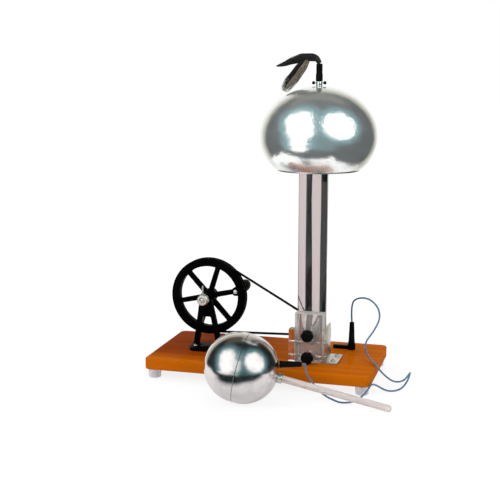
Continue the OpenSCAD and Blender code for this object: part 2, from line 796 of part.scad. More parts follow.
module flange_screws() {
    color("silver") place() at_flange_screws() translate([0, 0, board_z + bracket_t])
        screw(bracket_t + board_screw_in - 1);
}

// ---- Clamp knobs ----

module knob(rise) {
    r = knob_d / 2;
    head = [for (p = [[r - 0.8, 0.4], [r, 1.4], [r, knob_t - 4]]) p + [0, neck_l]];
    crown = [for (p = ellipse_arc(r, 4, 12, 90, 6)) p + [0, neck_l + knob_t - 4]];
    color([0.05, 0.05, 0.05]) place() translate([column_x, block_y - face_gap, board_z + rise])
        rotate([90, 0, 0]) difference() {
            rotate_extrude() polygon(concat([[0, 0], [neck_d / 2, 0], [neck_d / 2, neck_l]], head, crown));
            for (i = [0:5]) rotate(60 * i + 30) translate([r + 2.4, 0, neck_l]) cylinder(r = 3.6, h = knob_t);
            translate([0, 0, -1]) cylinder(r = stud_d / 2, h = stud_in + 1);
        }
}

module stud(rise) {
    y = block_y - face_gap - stud_in;
    color("silver") place()
        along_y(stud_d / 2, y, upright_back - y, column_x, board_z + rise);
}

module upper_knob() {
    knob(knob_high);
}

module lower_knob() {
    knob(knob_low);
}

module upper_stud() {
    stud(knob_high);
}

module lower_stud() {
    stud(knob_low);
}

// ---- Rollers and belt ----

module roller(z) {
    r = roller_d / 2;
    bore = roller_axle_d / 2;
    side = [for (i = [0:8]) let (t = i / 4 - 1) [r - roller_crown * t * t, roller_l * i / 8]];
    place() translate([column_x, roller_y, z]) rotate([-90, 0, 0])
        rotate_extrude() polygon(concat([[bore, 0]], side, [[bore, roller_l]]));
}

module collar(z) {
    place() difference() {
        along_y(collar_d / 2, collar_y, collar_w, column_x, z);
        along_y(roller_axle_d / 2, collar_y - 1, collar_w + 2, column_x, z);
    }
}

module lower_axle() {
    color("silver") place()
        along_y(roller_axle_d / 2, low_axle_front, wheel_y + pulley_w / 2 + 6 - low_axle_front, column_x, low_z);
}

module lower_collar() {
    y = upright_back + face_gap;
    color("dimgray") place() difference() {
        along_y(collar_d / 2, y, roller_y - y, column_x, low_z);
        along_y(roller_axle_d / 2, y - 1, roller_y - y + 2, column_x, low_z);
    }
}

module lower_roller() {
    color("whitesmoke") roller(low_z);
}

module cord_pulley() {
    half = pulley_w / 2;
    edge = pulley_cord_r + 3;
    color([0.1, 0.1, 0.1]) place() difference() {
        translate([column_x, wheel_y, low_z]) rotate([-90, 0, 0]) rotate_extrude()
            polygon(concat([[roller_axle_d / 2, -half], [edge - 1, -half], [edge, 1 - half],
                [edge, -groove_r - 0.8]], arc(groove_r, -90, -270, 12, [pulley_cord_r, 0]),
                [[edge, groove_r + 0.8], [edge, half - 1], [edge - 1, half], [roller_axle_d / 2, half]]));
    }
}

module upper_axle() {
    color("silver") place()
        along_y(roller_axle_d / 2, high_axle_front, roller_back + 2 - high_axle_front, column_x, high_z);
}

module upper_collar() {
    color("dimgray") collar(high_z);
}

module upper_roller() {
    color("gainsboro") roller(high_z);
}

module charge_belt() {
    loop = function (r) concat(arc(r, 0, 180, 16, [0, roller_span]), arc(r, 180, 360, 16));
    color([0.07, 0.07, 0.08]) place() translate([column_x, belt_y + belt_w, low_z]) rotate([90, 0, 0])
        linear_extrude(belt_w) difference() {
            polygon(loop(belt_side));
            polygon(loop(belt_r));
        }
}

// ---- Combs ----

// A comb's sheet, with its teeth along -X from the back strip's edge at x = 0
module comb_sheet(strip_w) {
    pitch = belt_w / comb_teeth;
    linear_extrude(comb_t) polygon(concat([[strip_w, 0]],
        [for (i = [0:comb_teeth - 1], k = [0, 1]) k == 0 ? [0, i * pitch] : [-tooth_l, (i + 0.5) * pitch]],
        [[0, belt_w], [strip_w, belt_w]]));
}

module lower_comb() {
    edge = column_x + belt_side + comb_gap + tooth_l;
    color("silver") place() {
        translate([edge, belt_y, low_z]) comb_sheet(column_high - edge);
        cuboid([column_high - comb_t, upright_back + 1, low_z - 8], [column_high, belt_y + belt_w, low_z + 8]);
    }
}

module upper_comb() {
    edge = column_x + belt_side + comb_gap + tooth_l;
    post = column_high + column_gap + comb_t;
    color("silver") place() {
        translate([edge, belt_y, high_z]) comb_sheet(post - edge);
        cuboid([post - comb_t, belt_y + 8, ring_z + ring_t], [post, belt_y + belt_w - 8, high_z + comb_t]);
        cuboid([post - comb_t, belt_y + 8, ring_z + ring_t], [post + 9, belt_y + belt_w - 8,
            ring_z + ring_t + comb_t]);
    }
}

// ---- Dome ----

// Each cleat's screw into the upright's edge, with its shank along the screw's own -Z
module at_cleat_screws() {
    z = ring_z + ring_t + cleat_h - 6;
    y = upright_y + upright_t / 2;
    translate([column_low, y, z]) rotate([0, -90, 0]) children();
    translate([column_high, y, z]) rotate([0, 90, 0]) children();
}

// Each screw up through the ring into its cleat, with its head's seat at the ring's underside
module at_ring_screws() {
    for (side = [-1, 1])
        translate([column_x + side * (column_w + cleat_w + column_gap) / 2, upright_y + upright_t / 2, ring_z])
            rotate([180, 0, 0]) children();
}

module carrier_ring() {
    color("silver") place() difference() {
        translate([dome_x, dome_y, ring_z]) cylinder(r = ring_r, h = ring_t);
        cuboid([column_low - column_gap, upright_y - column_gap, ring_z - 1],
            [column_high + column_gap, belt_y + belt_w + 3, ring_z + ring_t + 1]);
        at_ring_screws() screw_hole(ring_t + 1);
    }
}

module cleats() {
    z = ring_z + ring_t;
    low_y = upright_y;
    high_y = upright_y + upright_t;
    color([0.8, 0.82, 0.8]) place() difference() {
        for (side = [[column_low - cleat_w, column_low], [column_high, column_high + cleat_w]])
            cuboid([side[0], low_y, z], [side[1], high_y, z + cleat_h]);
        at_cleat_screws() translate([0, 0, cleat_w]) screw_hole(cleat_w + 1);
        at_ring_screws() screw_hole(ring_t + ring_screw_in);
    }
}

module cleat_screws() {
    color("silver") place() {
        at_cleat_screws() translate([0, 0, cleat_w]) screw(cleat_w + cleat_screw_in - 1);
        at_ring_screws() screw(ring_t + ring_screw_in - 1);
    }
}

module dome_shell() {
    t = dome_t;
    low = -acos(dome_rim_r / dome_r);
    depth = dome_down / sin(-low);
    rim_end = ellipse_arc(dome_r, depth, low, 0, 8);
    crown = ellipse_arc(dome_r, dome_up, 0, 88, 20);
    outer = concat(rim_end, [for (i = [1:20]) crown[i]], [[post_hole_r, dome_up]]);
    low_in = -acos((dome_rim_r - t) / (dome_r - t));
    inner_rim = ellipse_arc(dome_r - t, (dome_down - t) / sin(-low_in), 0, low_in, 8);
    inner_crown = ellipse_arc(dome_r - t, dome_up - t, 87, 0, 20);
    inner = concat([[post_hole_r, dome_up - t]], [for (i = [0:19]) inner_crown[i]], inner_rim);
    color([0.8, 0.82, 0.82]) place() translate([dome_x, dome_y, dome_z]) rotate_extrude()
        polygon(concat([[dome_mouth_r, -dome_down]], outer, inner, [[dome_mouth_r, t - dome_down]]));
}

// ---- Plume ----

module plume_socket() {
    color("silver") place() translate([dome_x, dome_y, dome_top]) difference() {
        union() {
            cylinder(r = socket_d / 2, h = socket_h);
            translate([0, 0, -8]) cylinder(r = post_hole_r, h = 9);
        }
        translate([0, 0, socket_h - post_in]) cylinder(r = post_d / 2, h = post_in + 1);
        along_x(1, -socket_d, 2 * socket_d, 0, pin_rise);
    }
}

module cross_pin() {
    half = pin_ball_pitch / 2;
    color("silver") place() along_x(1, dome_x - half, 2 * half, dome_y, dome_top + pin_rise);
}

module pin_balls() {
    color("black") place() for (side = [-1, 1])
        translate([dome_x + side * pin_ball_pitch / 2, dome_y, dome_top + pin_rise]) difference() {
            sphere(r = pin_ball_d / 2);
            translate([-side * pin_ball_d / 2, 0, 0]) rotate([0, 90, 0]) cylinder(r = 1, h = pin_ball_d, center = true);
        }
}

// The post stands in the socket, held by the cross pin, and the sleeve drops over it
module plume_post() {
    color("dimgray") place() difference() {
        translate([dome_x, dome_y, post_z]) cylinder(r = post_d / 2, h = post_rise);
        along_x(1, dome_x - post_d, 2 * post_d, dome_y, dome_top + pin_rise);
    }
}

module plume_sleeve() {
    r = sleeve_d / 2;
    bore = post_d / 2 + run_gap;
    color([0.06, 0.06, 0.06]) place() translate([dome_x, dome_y, sleeve_z + face_gap]) rotate_extrude()
        polygon([[bore, 0], [r - 0.8, 0], [r, 1], [r, 12], [r - 0.7, 15], [r - 0.5, 20],
            [r - 0.6, sleeve_l - 1], [r - 1.4, sleeve_l], [hair_root_r, sleeve_l],
            [hair_root_r, sleeve_l - hair_seat], [bore, sleeve_l - hair_seat]]);
}

module plume_hair() {
    top = sleeve_z + face_gap + sleeve_l;
    color([0.12, 0.1, 0.09]) place() translate([dome_x, dome_y, top]) {
        for (lock = [hair_long, hair_short]) {
            line = curve(lock, 3);
            sweep([for (p = line) [p[0], 0, p[1]]], [for (p = line) p[2] * 0.92], 10);
        }
    }
}

// ---- Discharge wand ----

// The ball's centre with +Z along the rod
module on_rod() {
    place() translate([ball_x, ball_y, ball_z]) rotate([0, 0, rod_turn]) rotate([0, 90 + rod_droop, 0])
        children();
}

// The socket's axis with +Z out of the ball, at the ball's surface
module on_plug() {
    place() translate([ball_x, ball_y, ball_z + plug_rise]) rotate([0, 0, plug_turn])
        rotate([0, 90, 0]) translate([0, 0, socket_seat]) children();
}

module half_shell() {
    outer = arc(ball_r, 0, 90, 18, [0, ball_band / 2]);
    inner = arc(ball_r - ball_t, 90, 0, 18, [0, ball_band / 2]);
    rotate_extrude() polygon(concat([[ball_r, 0]], outer, inner, [[ball_r - ball_t, 0]]));
}

module ball_near() {
    color([0.78, 0.8, 0.8]) difference() {
        on_rod() half_shell();
        on_rod() cylinder(r = rod_d / 2 + 1.5, h = 2 * ball_r);
        on_plug() translate([0, 0, -socket_l]) cylinder(r = flat_w / 2, h = 2 * socket_l);
    }
}

module ball_far() {
    color([0.78, 0.8, 0.8]) on_rod() mirror([0, 0, 1]) half_shell();
}

module ball_ferrule() {
    seat = ball_band / 2 + ball_r;
    r = rod_d / 2;
    color([0.7, 0.66, 0.6]) on_rod() difference() {
        union() {
            difference() {
                translate([0, 0, seat - 3]) cylinder(r = ferrule_d / 2, h = ferrule_out + 3);
                translate([0, 0, ball_band / 2]) sphere(r = ball_r);
            }
            translate([0, 0, seat - rod_in]) cylinder(r = r + 1.5, h = rod_in + 1);
        }
        translate([0, 0, seat - rod_in - 1]) cylinder(r = r, h = ferrule_out + rod_in + 2);
    }
}

module wand_rod() {
    r = rod_d / 2;
    start = ball_band / 2 + ball_r - rod_in;
    color([0.85, 0.87, 0.86, 0.5]) on_rod() translate([0, 0, start]) rotate_extrude()
        polygon(concat([[0, 0], [r, 0]], arc(r, 0, 90, 8, [0, rod_reach - start])));
}

module ball_socket() {
    color("goldenrod") on_plug() difference() {
        translate([0, 0, -socket_l]) cylinder(r = flat_w / 2, h = socket_l);
        translate([0, 0, -plug_pin_l - face_gap]) cylinder(r = plug_pin_d / 2 + run_gap, h = plug_pin_l + 2);
    }
}

// ---- Terminal, plugs and lead ----

module earth_terminal() {
    color([0.08, 0.08, 0.08]) place() difference() {
        union() {
            translate([terminal_x, terminal_y, board_z]) cylinder(r = terminal_d / 2, h = terminal_h);
            cuboid([terminal_x - terminal_l, terminal_y - 2, board_z], [terminal_x, terminal_y + 6, board_z + 7]);
        }
        translate([terminal_x, terminal_y, board_z]) cylinder(r = flat_w / 2, h = terminal_h + 1);
    }
}

module terminal_socket() {
    color("goldenrod") place() translate([terminal_x, terminal_y, board_z]) difference() {
        cylinder(r = flat_w / 2, h = terminal_h);
        translate([0, 0, 1]) cylinder(r = plug_pin_d / 2, h = terminal_h);
    }
}

// A plug's body along +Z from its socket: ribbed at the root and drawn in towards its lead
module plug_body(l) {
    r = plug_d / 2;
    tail = plug_tail_d / 2;
    collar = 5;
    rotate_extrude() polygon([[0, plug_seat], [plug_pin_d / 2, plug_seat], [plug_pin_d / 2, 0], [r - 1, 0],
        [r, 1], [r, collar - 1], [r - 0.6, collar], [tail, l - 3], [tail, l - 1], [tail - 1, l], [0, l]]);
}

module earth_plug() {
    color([0.07, 0.07, 0.07]) place() translate([terminal_x, terminal_y, board_z + terminal_h])
        plug_body(plug_l);
}

module earth_pin() {
    color("silver") place() translate([terminal_x, terminal_y, board_z + 1])
        cylinder(r = plug_pin_d / 2, h = terminal_h - 1 + plug_seat);
}

module ball_plug() {
    color([0.07, 0.07, 0.07]) on_plug() translate([0, 0, plug_gap]) plug_body(ball_plug_l);
}

module ball_pin() {
    color("silver") on_plug() translate([0, 0, -plug_pin_l])
        cylinder(r = plug_pin_d / 2, h = plug_pin_l + plug_gap + plug_seat);
}

module earth_lead() {
    end = [ball_x, ball_y, ball_z] + plug_at + (socket_seat + plug_gap + ball_plug_l) * plug_way;
    start = [terminal_x, terminal_y, board_z + terminal_h + plug_l];
    way = concat([start], lead_way, [end + 6 * plug_way, end]);
    line = curve(way, 2);
    color([0.16, 0.25, 0.36]) place() sweep(line, [for (p = line) lead_d / 2], 8);
}

base_board();
feet();
foot_screws();
wheel_stand();
stand_screws();
drive_axle();
axle_end_nut();
clamp_nut();
tommy_bar();
drive_wheel();
wheel_bush();
crank_pin();
crank_grip();
grip_cap();
drive_cord();
upright();
clamp_block();
side_block();
side_screws();
angle_bracket();
leg_screws();
flange_screws();
upper_knob();
upper_stud();
lower_knob();
lower_stud();
lower_axle();
lower_collar();
lower_roller();
cord_pulley();
upper_axle();
upper_collar();
upper_roller();
charge_belt();
lower_comb();
upper_comb();
carrier_ring();
cleats();
cleat_screws();
dome_shell();
plume_socket();
cross_pin();
pin_balls();
plume_post();
plume_sleeve();
plume_hair();
ball_near();
ball_far();
ball_ferrule();
ball_socket();
wand_rod();
earth_terminal();
terminal_socket();
earth_plug();
earth_pin();
ball_plug();
ball_pin();
earth_lead();
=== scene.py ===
"""Dresses the hand-driven Van de Graaff generator: finished pieces, finishes, camera and stage.

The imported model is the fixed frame. Every length is in metres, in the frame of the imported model.
"""

import math
import random

import bpy
from mathutils import Matrix, Vector


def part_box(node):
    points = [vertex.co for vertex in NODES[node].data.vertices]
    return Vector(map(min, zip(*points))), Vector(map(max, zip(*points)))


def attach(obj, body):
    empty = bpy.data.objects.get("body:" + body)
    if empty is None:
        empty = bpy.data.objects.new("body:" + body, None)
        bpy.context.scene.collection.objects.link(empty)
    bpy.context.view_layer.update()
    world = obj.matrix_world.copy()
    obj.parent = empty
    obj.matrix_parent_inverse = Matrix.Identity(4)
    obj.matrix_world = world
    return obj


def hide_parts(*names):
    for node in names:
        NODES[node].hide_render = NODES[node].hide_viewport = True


bl_info = {
    "name": "Van de Graaff generator",
    "version": (1, 0, 0),
    "blender": (4, 5, 0),
    "location": "3D View > Sidebar > Generator",
    "description": "Finished pieces and stage for a hand-driven Van de Graaff generator",
    "category": "Object",
}

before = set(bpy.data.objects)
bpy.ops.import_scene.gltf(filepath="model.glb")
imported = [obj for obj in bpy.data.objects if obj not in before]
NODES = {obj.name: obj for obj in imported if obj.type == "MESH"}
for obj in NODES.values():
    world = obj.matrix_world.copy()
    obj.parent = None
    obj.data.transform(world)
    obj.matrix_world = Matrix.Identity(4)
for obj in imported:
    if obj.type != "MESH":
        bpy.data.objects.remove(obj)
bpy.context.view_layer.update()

MM = 0.001


def middle(node):
    """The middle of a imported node's box."""
    low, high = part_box(node)
    return (low + high) / 2


def span(node):
    """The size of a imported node's box."""
    low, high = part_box(node)
    return high - low


# The base board's centre, about which the routes and places below are measured
BOARD = middle("base_board")


def from_board(x, y, z):
    """A point given in millimetres from the board's centre, with its height above the floor."""
    return Vector((BOARD.x + x * MM, BOARD.y + y * MM, z * MM))


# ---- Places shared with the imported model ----

CAMERA_AT = Vector((0.43656, -1.71101, 0.55693))
CAMERA_TURN = 15.773
CAMERA_PITCH = 10.679
CAMERA_LENS = 72.4
CAMERA_SHIFT = (0.0061, 0.0230)

# Directions of the soft boxes that the metal mirrors, before the camera's turn
LEFT_BOX = (-0.62, -0.68, 0.38)
LEFT_BOX_TOP = (-0.60, -0.46, 0.65)
LEFT_BOX_FOOT = (-0.67, -0.71, -0.18)
RIGHT_BOX = (0.58, -0.63, 0.51)
# The middle of a bright patch of floor that the dome mirrors, across and back from the board's centre
FLOOR_SPOT = (-0.35, -0.85)
WHITE = (1, 1, 1, 1)

DOME_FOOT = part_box("dome_shell")[0].z
BALL_AT = from_board(2, -191.3, 61.24)
BALL_R = 60.3 * MM
BALL_BAND = 8.7 * MM
BALL_WALL = 1.0 * MM
ROD_TURN = 3.8
ROD_DROOP = 12.46
PLUG_TURN = 14
PLUG_RISE = 6.5 * MM
SOCKET_R = 4.0 * MM
STEM_R = 7.5 * MM

LEAD_D = 3.3 * MM
LEAD_END_OUT = 102.77
LEAD_ROUTE = [
    (147, 60, 110), (150, 60, 130), (163, 59, 138), (180, 57, 137), (194, 54, 127), (201, 50, 114),
    (201, 43, 99), (192, 32, 80), (183, 19, 66), (184, 3, 54), (195, -17, 44), (204, -33, 42), (214, -50, 39),
    (225, -53, 28), (238, -42, 14), (248, -30, 8), (257, -15, 7), (264, -9, 14), (268, -13, 21), (269, -22, 23),
    (268, -31, 17), (263, -45, 8), (255, -58, 3), (242, -68, 2), (230, -72, 5), (220, -83, 14), (214, -95, 20),
    (211, -106, 21), (207, -119, 15), (199, -130, 7), (189, -143, 2.4), (175, -153, 2), (163, -152, 2),
    (150, -141, 2), (140, -138, 5), (128, -148, 18), (118, -158, 36), (109, -164.5, 54),
]

WHEEL_CORD_R = 71.4 * MM
PULLEY_CORD_R = 11.0 * MM
CORD_D = 4.5 * MM

# The two locks of hair: along, up and half width at each point, in millimetres from the sleeve's top
LOCK_LONG = [
    (0, -6, 4.4), (0, 0, 4.5), (-1.7, 4.8, 5.2), (-5.8, 9, 6.7), (-12, 10.8, 8.2), (-21.5, 11, 9),
    (-31, 10.4, 9.3), (-40, 8, 8.7), (-50.6, 4.8, 7.5), (-62, 0.6, 5.6), (-72.5, -2.7, 3), (-78.7, -4, 1.2),
]
LOCK_SHORT = [
    (-21.5, 10, 6), (-29, -1, 9.5), (-37, -11.5, 11.5), (-46.5, -24, 11.8), (-55, -34, 11.5),
    (-60.5, -42, 10), (-63.5, -49, 7),
]


# ---- Shader maths ----


class Sock:
    """A socket's value, on which plain arithmetic adds the nodes that do it."""

    def __init__(self, nodes, socket):
        self.nodes = nodes
        self.socket = socket

    def _math(self, operation, first, second):
        return self.nodes.add("ShaderNodeMath", {"operation": operation}, {0: first, 1: second})

    def __add__(self, other):
        return self._math("ADD", self, other)

    __radd__ = __add__

    def __mul__(self, other):
        return self._math("MULTIPLY", self, other)

    __rmul__ = __mul__

    def __sub__(self, other):
        return self._math("SUBTRACT", self, other)

    def __abs__(self):
        return self.nodes.add("ShaderNodeMath", {"operation": "ABSOLUTE"}, {0: self})

    def larger(self, other):
        return self._math("MAXIMUM", self, other)

    def ease(self, low, high, to_low=0.0, to_high=1.0):
        """The value carried smoothly from low..high to to_low..to_high."""
        return self.nodes.add(
            "ShaderNodeMapRange",
            {"interpolation_type": "SMOOTHSTEP", "clamp": True},
            {"Value": self, "From Min": low, "From Max": high, "To Min": to_low, "To Max": to_high},
        )


class Nodes:
    """A node tree to which nodes are added by one method."""

    def __init__(self, tree):
        self.tree = tree
        tree.nodes.clear()

    def add(self, kind, settings=None, inputs=None, out=0):
        node = self.tree.nodes.new(kind)
        for key, value in (settings or {}).items():
            setattr(node, key, value)
        for key, value in (inputs or {}).items():
            self.feed(node.inputs[key], value)
        return Sock(self, node.outputs[out]) if node.outputs else node

    def feed(self, socket, value):
        if isinstance(value, Sock):
            self.tree.links.new(value.socket, socket)
        else:
            socket.default_value = value

    def ray(self, kind):
        """1 on a ray of that kind, which is Camera, Glossy or Transmission."""
        return self.add("ShaderNodeLightPath", out=f"Is {kind} Ray")

    def vector(self, operation, first, second=(0, 0, 0)):
        """One number from one or two vectors."""
        return self.add("ShaderNodeVectorMath", {"operation": operation}, {0: first, 1: second}, out=1)

    def either(self, factor, first, second):
        """A shader between two, by a factor."""
        return self.add("ShaderNodeMixShader", None, {0: factor, 1: first, 2: second})

    def glow(self, kind, colour, strength=1.0):
        """An emission or a background of that colour."""
        return self.add(f"ShaderNode{kind}", None, {"Color": colour, "Strength": strength})

    def mix(self, factor, first, second):
        """A colour between two, by a factor."""
        return self.add(
            "ShaderNodeMix", {"data_type": "RGBA"}, {0: factor, 6: first, 7: second}, out=2
        )

    def part(self, vector, axis):
        return self.add("ShaderNodeSeparateXYZ", None, {0: vector}, out="XYZ".index(axis))

    def coords(self, kind="Object"):
        return self.add("ShaderNodeTexCoord", out=["Generated", "Normal", "UV", "Object"].index(kind))

    def placed(self, vector, at=(0, 0, 0), turn=(0, 0, 0), scale=(1, 1, 1)):
        """Coordinates moved so that at is their origin, then turned and scaled."""
        moved = self.add("ShaderNodeVectorMath", {"operation": "SUBTRACT"}, {0: vector, 1: at})
        return self.add("ShaderNodeMapping", None, {"Vector": moved, "Rotation": turn, "Scale": scale})

    def noise(self, vector, scale, detail=3.0, rough=0.5, distort=0.0):
        return self.add(
            "ShaderNodeTexNoise",
            None,
            {"Vector": vector, "Scale": scale, "Detail": detail, "Roughness": rough, "Distortion": distort},
        )

    def bump(self, height, strength, distance):
        return self.add("ShaderNodeBump", None, {"Height": height, "Strength": strength, "Distance": distance})


def rgba(colour):
    return (*colour, 1)


def grey(level):
    return (level, level, level, 1)


def finish_surface(name, build):
    """A new material from build(nodes): one Principled shader's inputs, or two and what mixes them."""
    material = bpy.data.materials.new(name)
    material.use_nodes = True
    nodes = Nodes(material.node_tree)
    made = build(nodes)
    if isinstance(made, dict):
        surface = nodes.add("ShaderNodeBsdfPrincipled", None, made)
    else:
        first, second = (nodes.add("ShaderNodeBsdfPrincipled", None, inputs) for inputs in made[:2])
        surface = nodes.either(made[2], first, second)
    nodes.add("ShaderNodeOutputMaterial", None, {"Surface": surface})
    return material


SURFACES = {}


def surface(name):
    """The material of that name, made once."""
    if name not in SURFACES:
        SURFACES[name] = finish_surface(name, MAKERS[name])
    return SURFACES[name]


def varnished_wood(nodes):
    tone = bpy.context.scene.generator_finish
    place = nodes.placed(nodes.coords(), at=BOARD)
    along = nodes.placed(place, scale=(0.09, 1.0, 1.6))
    wander = nodes.noise(along, 26.0, 4.0, 0.6, 0.6)
    fine = nodes.noise(nodes.placed(place, scale=(0.03, 1.0, 1.0)), 620.0, 3.0, 0.7)
    rings = nodes.add(
        "ShaderNodeTexWave",
        {"wave_type": "BANDS", "bands_direction": "Y"},
        {"Vector": along, "Scale": 9.0, "Distortion": 9.0, "Detail": 3.0, "Detail Scale": 1.3},
    )
    # Painted shade: towards the board's rear left the wood is darkened towards the red, for the shade and dark
    # reflection that fall there; the same red also colours the grain's flecks
    painted_shade_rear_left = nodes.part(place, "X").ease(0.12, -0.10) * nodes.part(place, "Y").ease(-0.115, -0.04)
    pale = nodes.mix(rings * 0.34 + wander * 0.4, rgba(tone.wood_light), rgba(tone.wood_dark))
    wood_with_painted_shade = nodes.mix(painted_shade_rear_left * 0.75, pale, rgba(tone.wood_red_and_shade))
    flecked = nodes.mix(fine.ease(0.56, 0.7) * 0.25, wood_with_painted_shade, rgba(tone.wood_red_and_shade))
    scuff = nodes.noise(place, 34.0, 5.0, 0.65)
    return {
        "Base Color": flecked,
        "Roughness": scuff.ease(0.3, 0.75, 0.3, 0.46),
        "Specular IOR Level": 0.0,
        "Coat Weight": scuff.ease(0.3, 0.75, 0.05, 0.02),
        "Coat Roughness": 0.1,
        "Normal": nodes.bump(fine * 0.4 + rings * 0.3 + scuff * 0.6, 0.16, 0.0004),
    }


def black_paint(nodes):
    place = nodes.coords()
    grit = nodes.noise(place, 900.0, 3.0, 0.6)
    cast = nodes.noise(place, 120.0, 3.0, 0.6)
    dust = nodes.noise(place, 22.0, 5.0, 0.7)
    return {
        "Base Color": nodes.mix(dust.ease(0.45, 0.8) * 0.5, grey(0.001), grey(0.006)),
        "Roughness": cast.ease(0.3, 0.7, 0.3, 0.46),
        "Specular IOR Level": 0.01,
        "Normal": nodes.bump(grit * 0.4 + cast, 0.22, 0.0004),
    }


def black_plastic(nodes):
    place = nodes.coords()
    rub = nodes.noise(place, 60.0, 4.0, 0.6)
    fine = nodes.noise(nodes.placed(place, scale=(1, 0.2, 1)), 1400.0, 2.0, 0.6)
    return {
        "Base Color": nodes.mix(rub.ease(0.5, 0.8) * 0.5, grey(0.003), (0.010, 0.010, 0.011, 1)),
        "Roughness": rub.ease(0.3, 0.75, 0.22, 0.36),
        "Specular IOR Level": 0.05,
        "Normal": nodes.bump(fine, 0.06, 0.0002),
    }


def black_rubber(nodes):
    place = nodes.coords()
    grain = nodes.noise(place, 1500.0, 3.0, 0.7)
    wear = nodes.noise(place, 40.0, 4.0, 0.6)
    return {
        "Base Color": nodes.mix(
            wear.ease(0.45, 0.8) * 0.6, (0.004, 0.004, 0.005, 1), (0.014, 0.014, 0.015, 1)
        ),
        "Roughness": wear.ease(0.3, 0.8, 0.42, 0.6),
        "Specular IOR Level": 0.06,
        "Normal": nodes.bump(grain, 0.2, 0.0002),
    }


def belt_rubber(nodes):
    place = nodes.coords()
    weave_a = nodes.add(
        "ShaderNodeTexWave", {"wave_type": "BANDS", "bands_direction": "Y"}, {"Vector": place, "Scale": 160.0}
    )
    weave_b = nodes.add(
        "ShaderNodeTexWave", {"wave_type": "BANDS", "bands_direction": "Z"}, {"Vector": place, "Scale": 160.0}
    )
    wear = nodes.noise(place, 30.0, 4.0, 0.6)
    return {
        # Painted reflection: where the noise is high the black takes a dull teal tint, standing in for the room
        # it mirrors; the same noise also sets the rubber's wear in its roughness
        "Base Color": nodes.mix(
            wear.ease(0.4, 0.8) * 0.7, (0.002, 0.003, 0.003, 1), (0.006, 0.012, 0.013, 1)
        ),
        "Roughness": wear.ease(0.3, 0.8, 0.3, 0.45),
        "Specular IOR Level": 0.0,
        "Normal": nodes.bump(weave_a * weave_b, 0.12, 0.0002),
    }


def bright_steel(nodes):
    place = nodes.coords()
    smear = nodes.noise(place, 180.0, 4.0, 0.6)
    turned = nodes.noise(nodes.placed(place, scale=(1, 12, 1)), 240.0, 2.0, 0.5)
    return {
        "Base Color": nodes.mix(smear.ease(0.5, 0.75), (0.62, 0.61, 0.60, 1), (0.50, 0.48, 0.46, 1)),
        "Metallic": 1.0,
        "Roughness": smear.ease(0.3, 0.8, 0.2, 0.36),
        "Normal": nodes.bump(turned, 0.05, 0.0002),
    }


def bright_plate(nodes):
    place = nodes.coords()
    smear = nodes.noise(place, 90.0, 4.0, 0.6)
    return {
        "Base Color": nodes.mix(smear.ease(0.5, 0.8), (0.80, 0.80, 0.80, 1), (0.70, 0.69, 0.67, 1)),
        "Metallic": 1.0,
        "Roughness": smear.ease(0.35, 0.8, 0.08, 0.2),
    }


def brass(nodes):
    tarnish = nodes.noise(nodes.coords(), 220.0, 4.0, 0.6)
    return {
        "Base Color": nodes.mix(tarnish.ease(0.45, 0.75), (0.78, 0.56, 0.24, 1), (0.48, 0.32, 0.13, 1)),
        "Metallic": 1.0,
        "Roughness": tarnish.ease(0.3, 0.8, 0.2, 0.42),
    }


def aluminium(nodes):
    place = nodes.coords()
    brushed = nodes.noise(nodes.placed(place, scale=(1, 0.04, 1)), 900.0, 3.0, 0.6)
    cloud = nodes.noise(place, 45.0, 4.0, 0.6)
    return {
        "Base Color": nodes.mix(cloud.ease(0.4, 0.8), (0.66, 0.63, 0.58, 1), (0.50, 0.46, 0.40, 1)),
        "Metallic": 1.0,
        "Roughness": (brushed * 0.14 + 0.28),
        "Normal": nodes.bump(brushed, 0.08, 0.0002),
    }


def polished_shell(nodes):
    tone = bpy.context.scene.generator_finish
    place = nodes.coords()
    dent = nodes.noise(place, 13.0, 2.0, 0.5)
    rings = nodes.add(
        "ShaderNodeTexWave",
        {"wave_type": "BANDS", "bands_direction": "Z"},
        {"Vector": place, "Scale": 70.0, "Distortion": 1.2, "Detail": 2.0},
    )
    smear = nodes.noise(place, 28.0, 5.0, 0.65)
    pitted = nodes.noise(place, 120.0, 4.0, 0.6)
    low = nodes.part(place, "Z").ease(DOME_FOOT + 0.028, DOME_FOOT + 0.006)
    return {
        "Base Color": nodes.mix(smear.ease(0.4, 0.85), rgba(tone.shell), (0.70, 0.80, 0.80, 1)),
        "Metallic": 0.84,
        "Roughness": smear.ease(0.3, 0.85, tone.shell_roughness, tone.shell_roughness + 0.1) + low * 0.16,
        "Normal": nodes.bump(dent + rings * 0.012 + pitted * 0.5, 0.2, 0.004),
    }


def spun_ball(nodes):
    """The ball's duller metal, with grime in the seam between its half shells."""
    tone = bpy.context.scene.generator_finish
    place = nodes.placed(nodes.coords(), at=BALL_AT)
    droop, turn = math.radians(ROD_DROOP), math.radians(ROD_TURN)
    rod = (math.cos(droop) * math.cos(turn), math.cos(droop) * math.sin(turn), -math.sin(droop))
    along = nodes.vector("DOT_PRODUCT", place, rod)
    seam = abs(along).ease(1.3 * MM, 0.5 * MM)
    smear = nodes.noise(place, 42.0, 5.0, 0.65)
    dent = nodes.noise(place, 16.0, 2.0, 0.5)
    metal = nodes.mix(smear.ease(0.4, 0.85), rgba(tone.ball), (0.54, 0.51, 0.50, 1))
    return {
        "Base Color": nodes.mix(seam * 0.45, metal, (0.14, 0.15, 0.14, 1)),
        "Metallic": 1.0,
        "Roughness": smear.ease(0.3, 0.85, tone.ball_roughness, tone.ball_roughness + 0.12),
        "Normal": nodes.bump(dent, 0.2, 0.003),
    }


def clear_acrylic(nodes):
    """The clear blocks and cleats."""
    handled = nodes.noise(nodes.coords(), 60.0, 5.0, 0.7)
    return {
        "Base Color": nodes.mix(handled.ease(0.4, 0.8) * 0.5, (0.95, 0.93, 0.90, 1), (0.88, 0.84, 0.78, 1)),
        "Transmission Weight": 1.0,
        "IOR": 1.49,
        "Roughness": handled.ease(0.4, 0.85, 0.0, 0.05),
    }


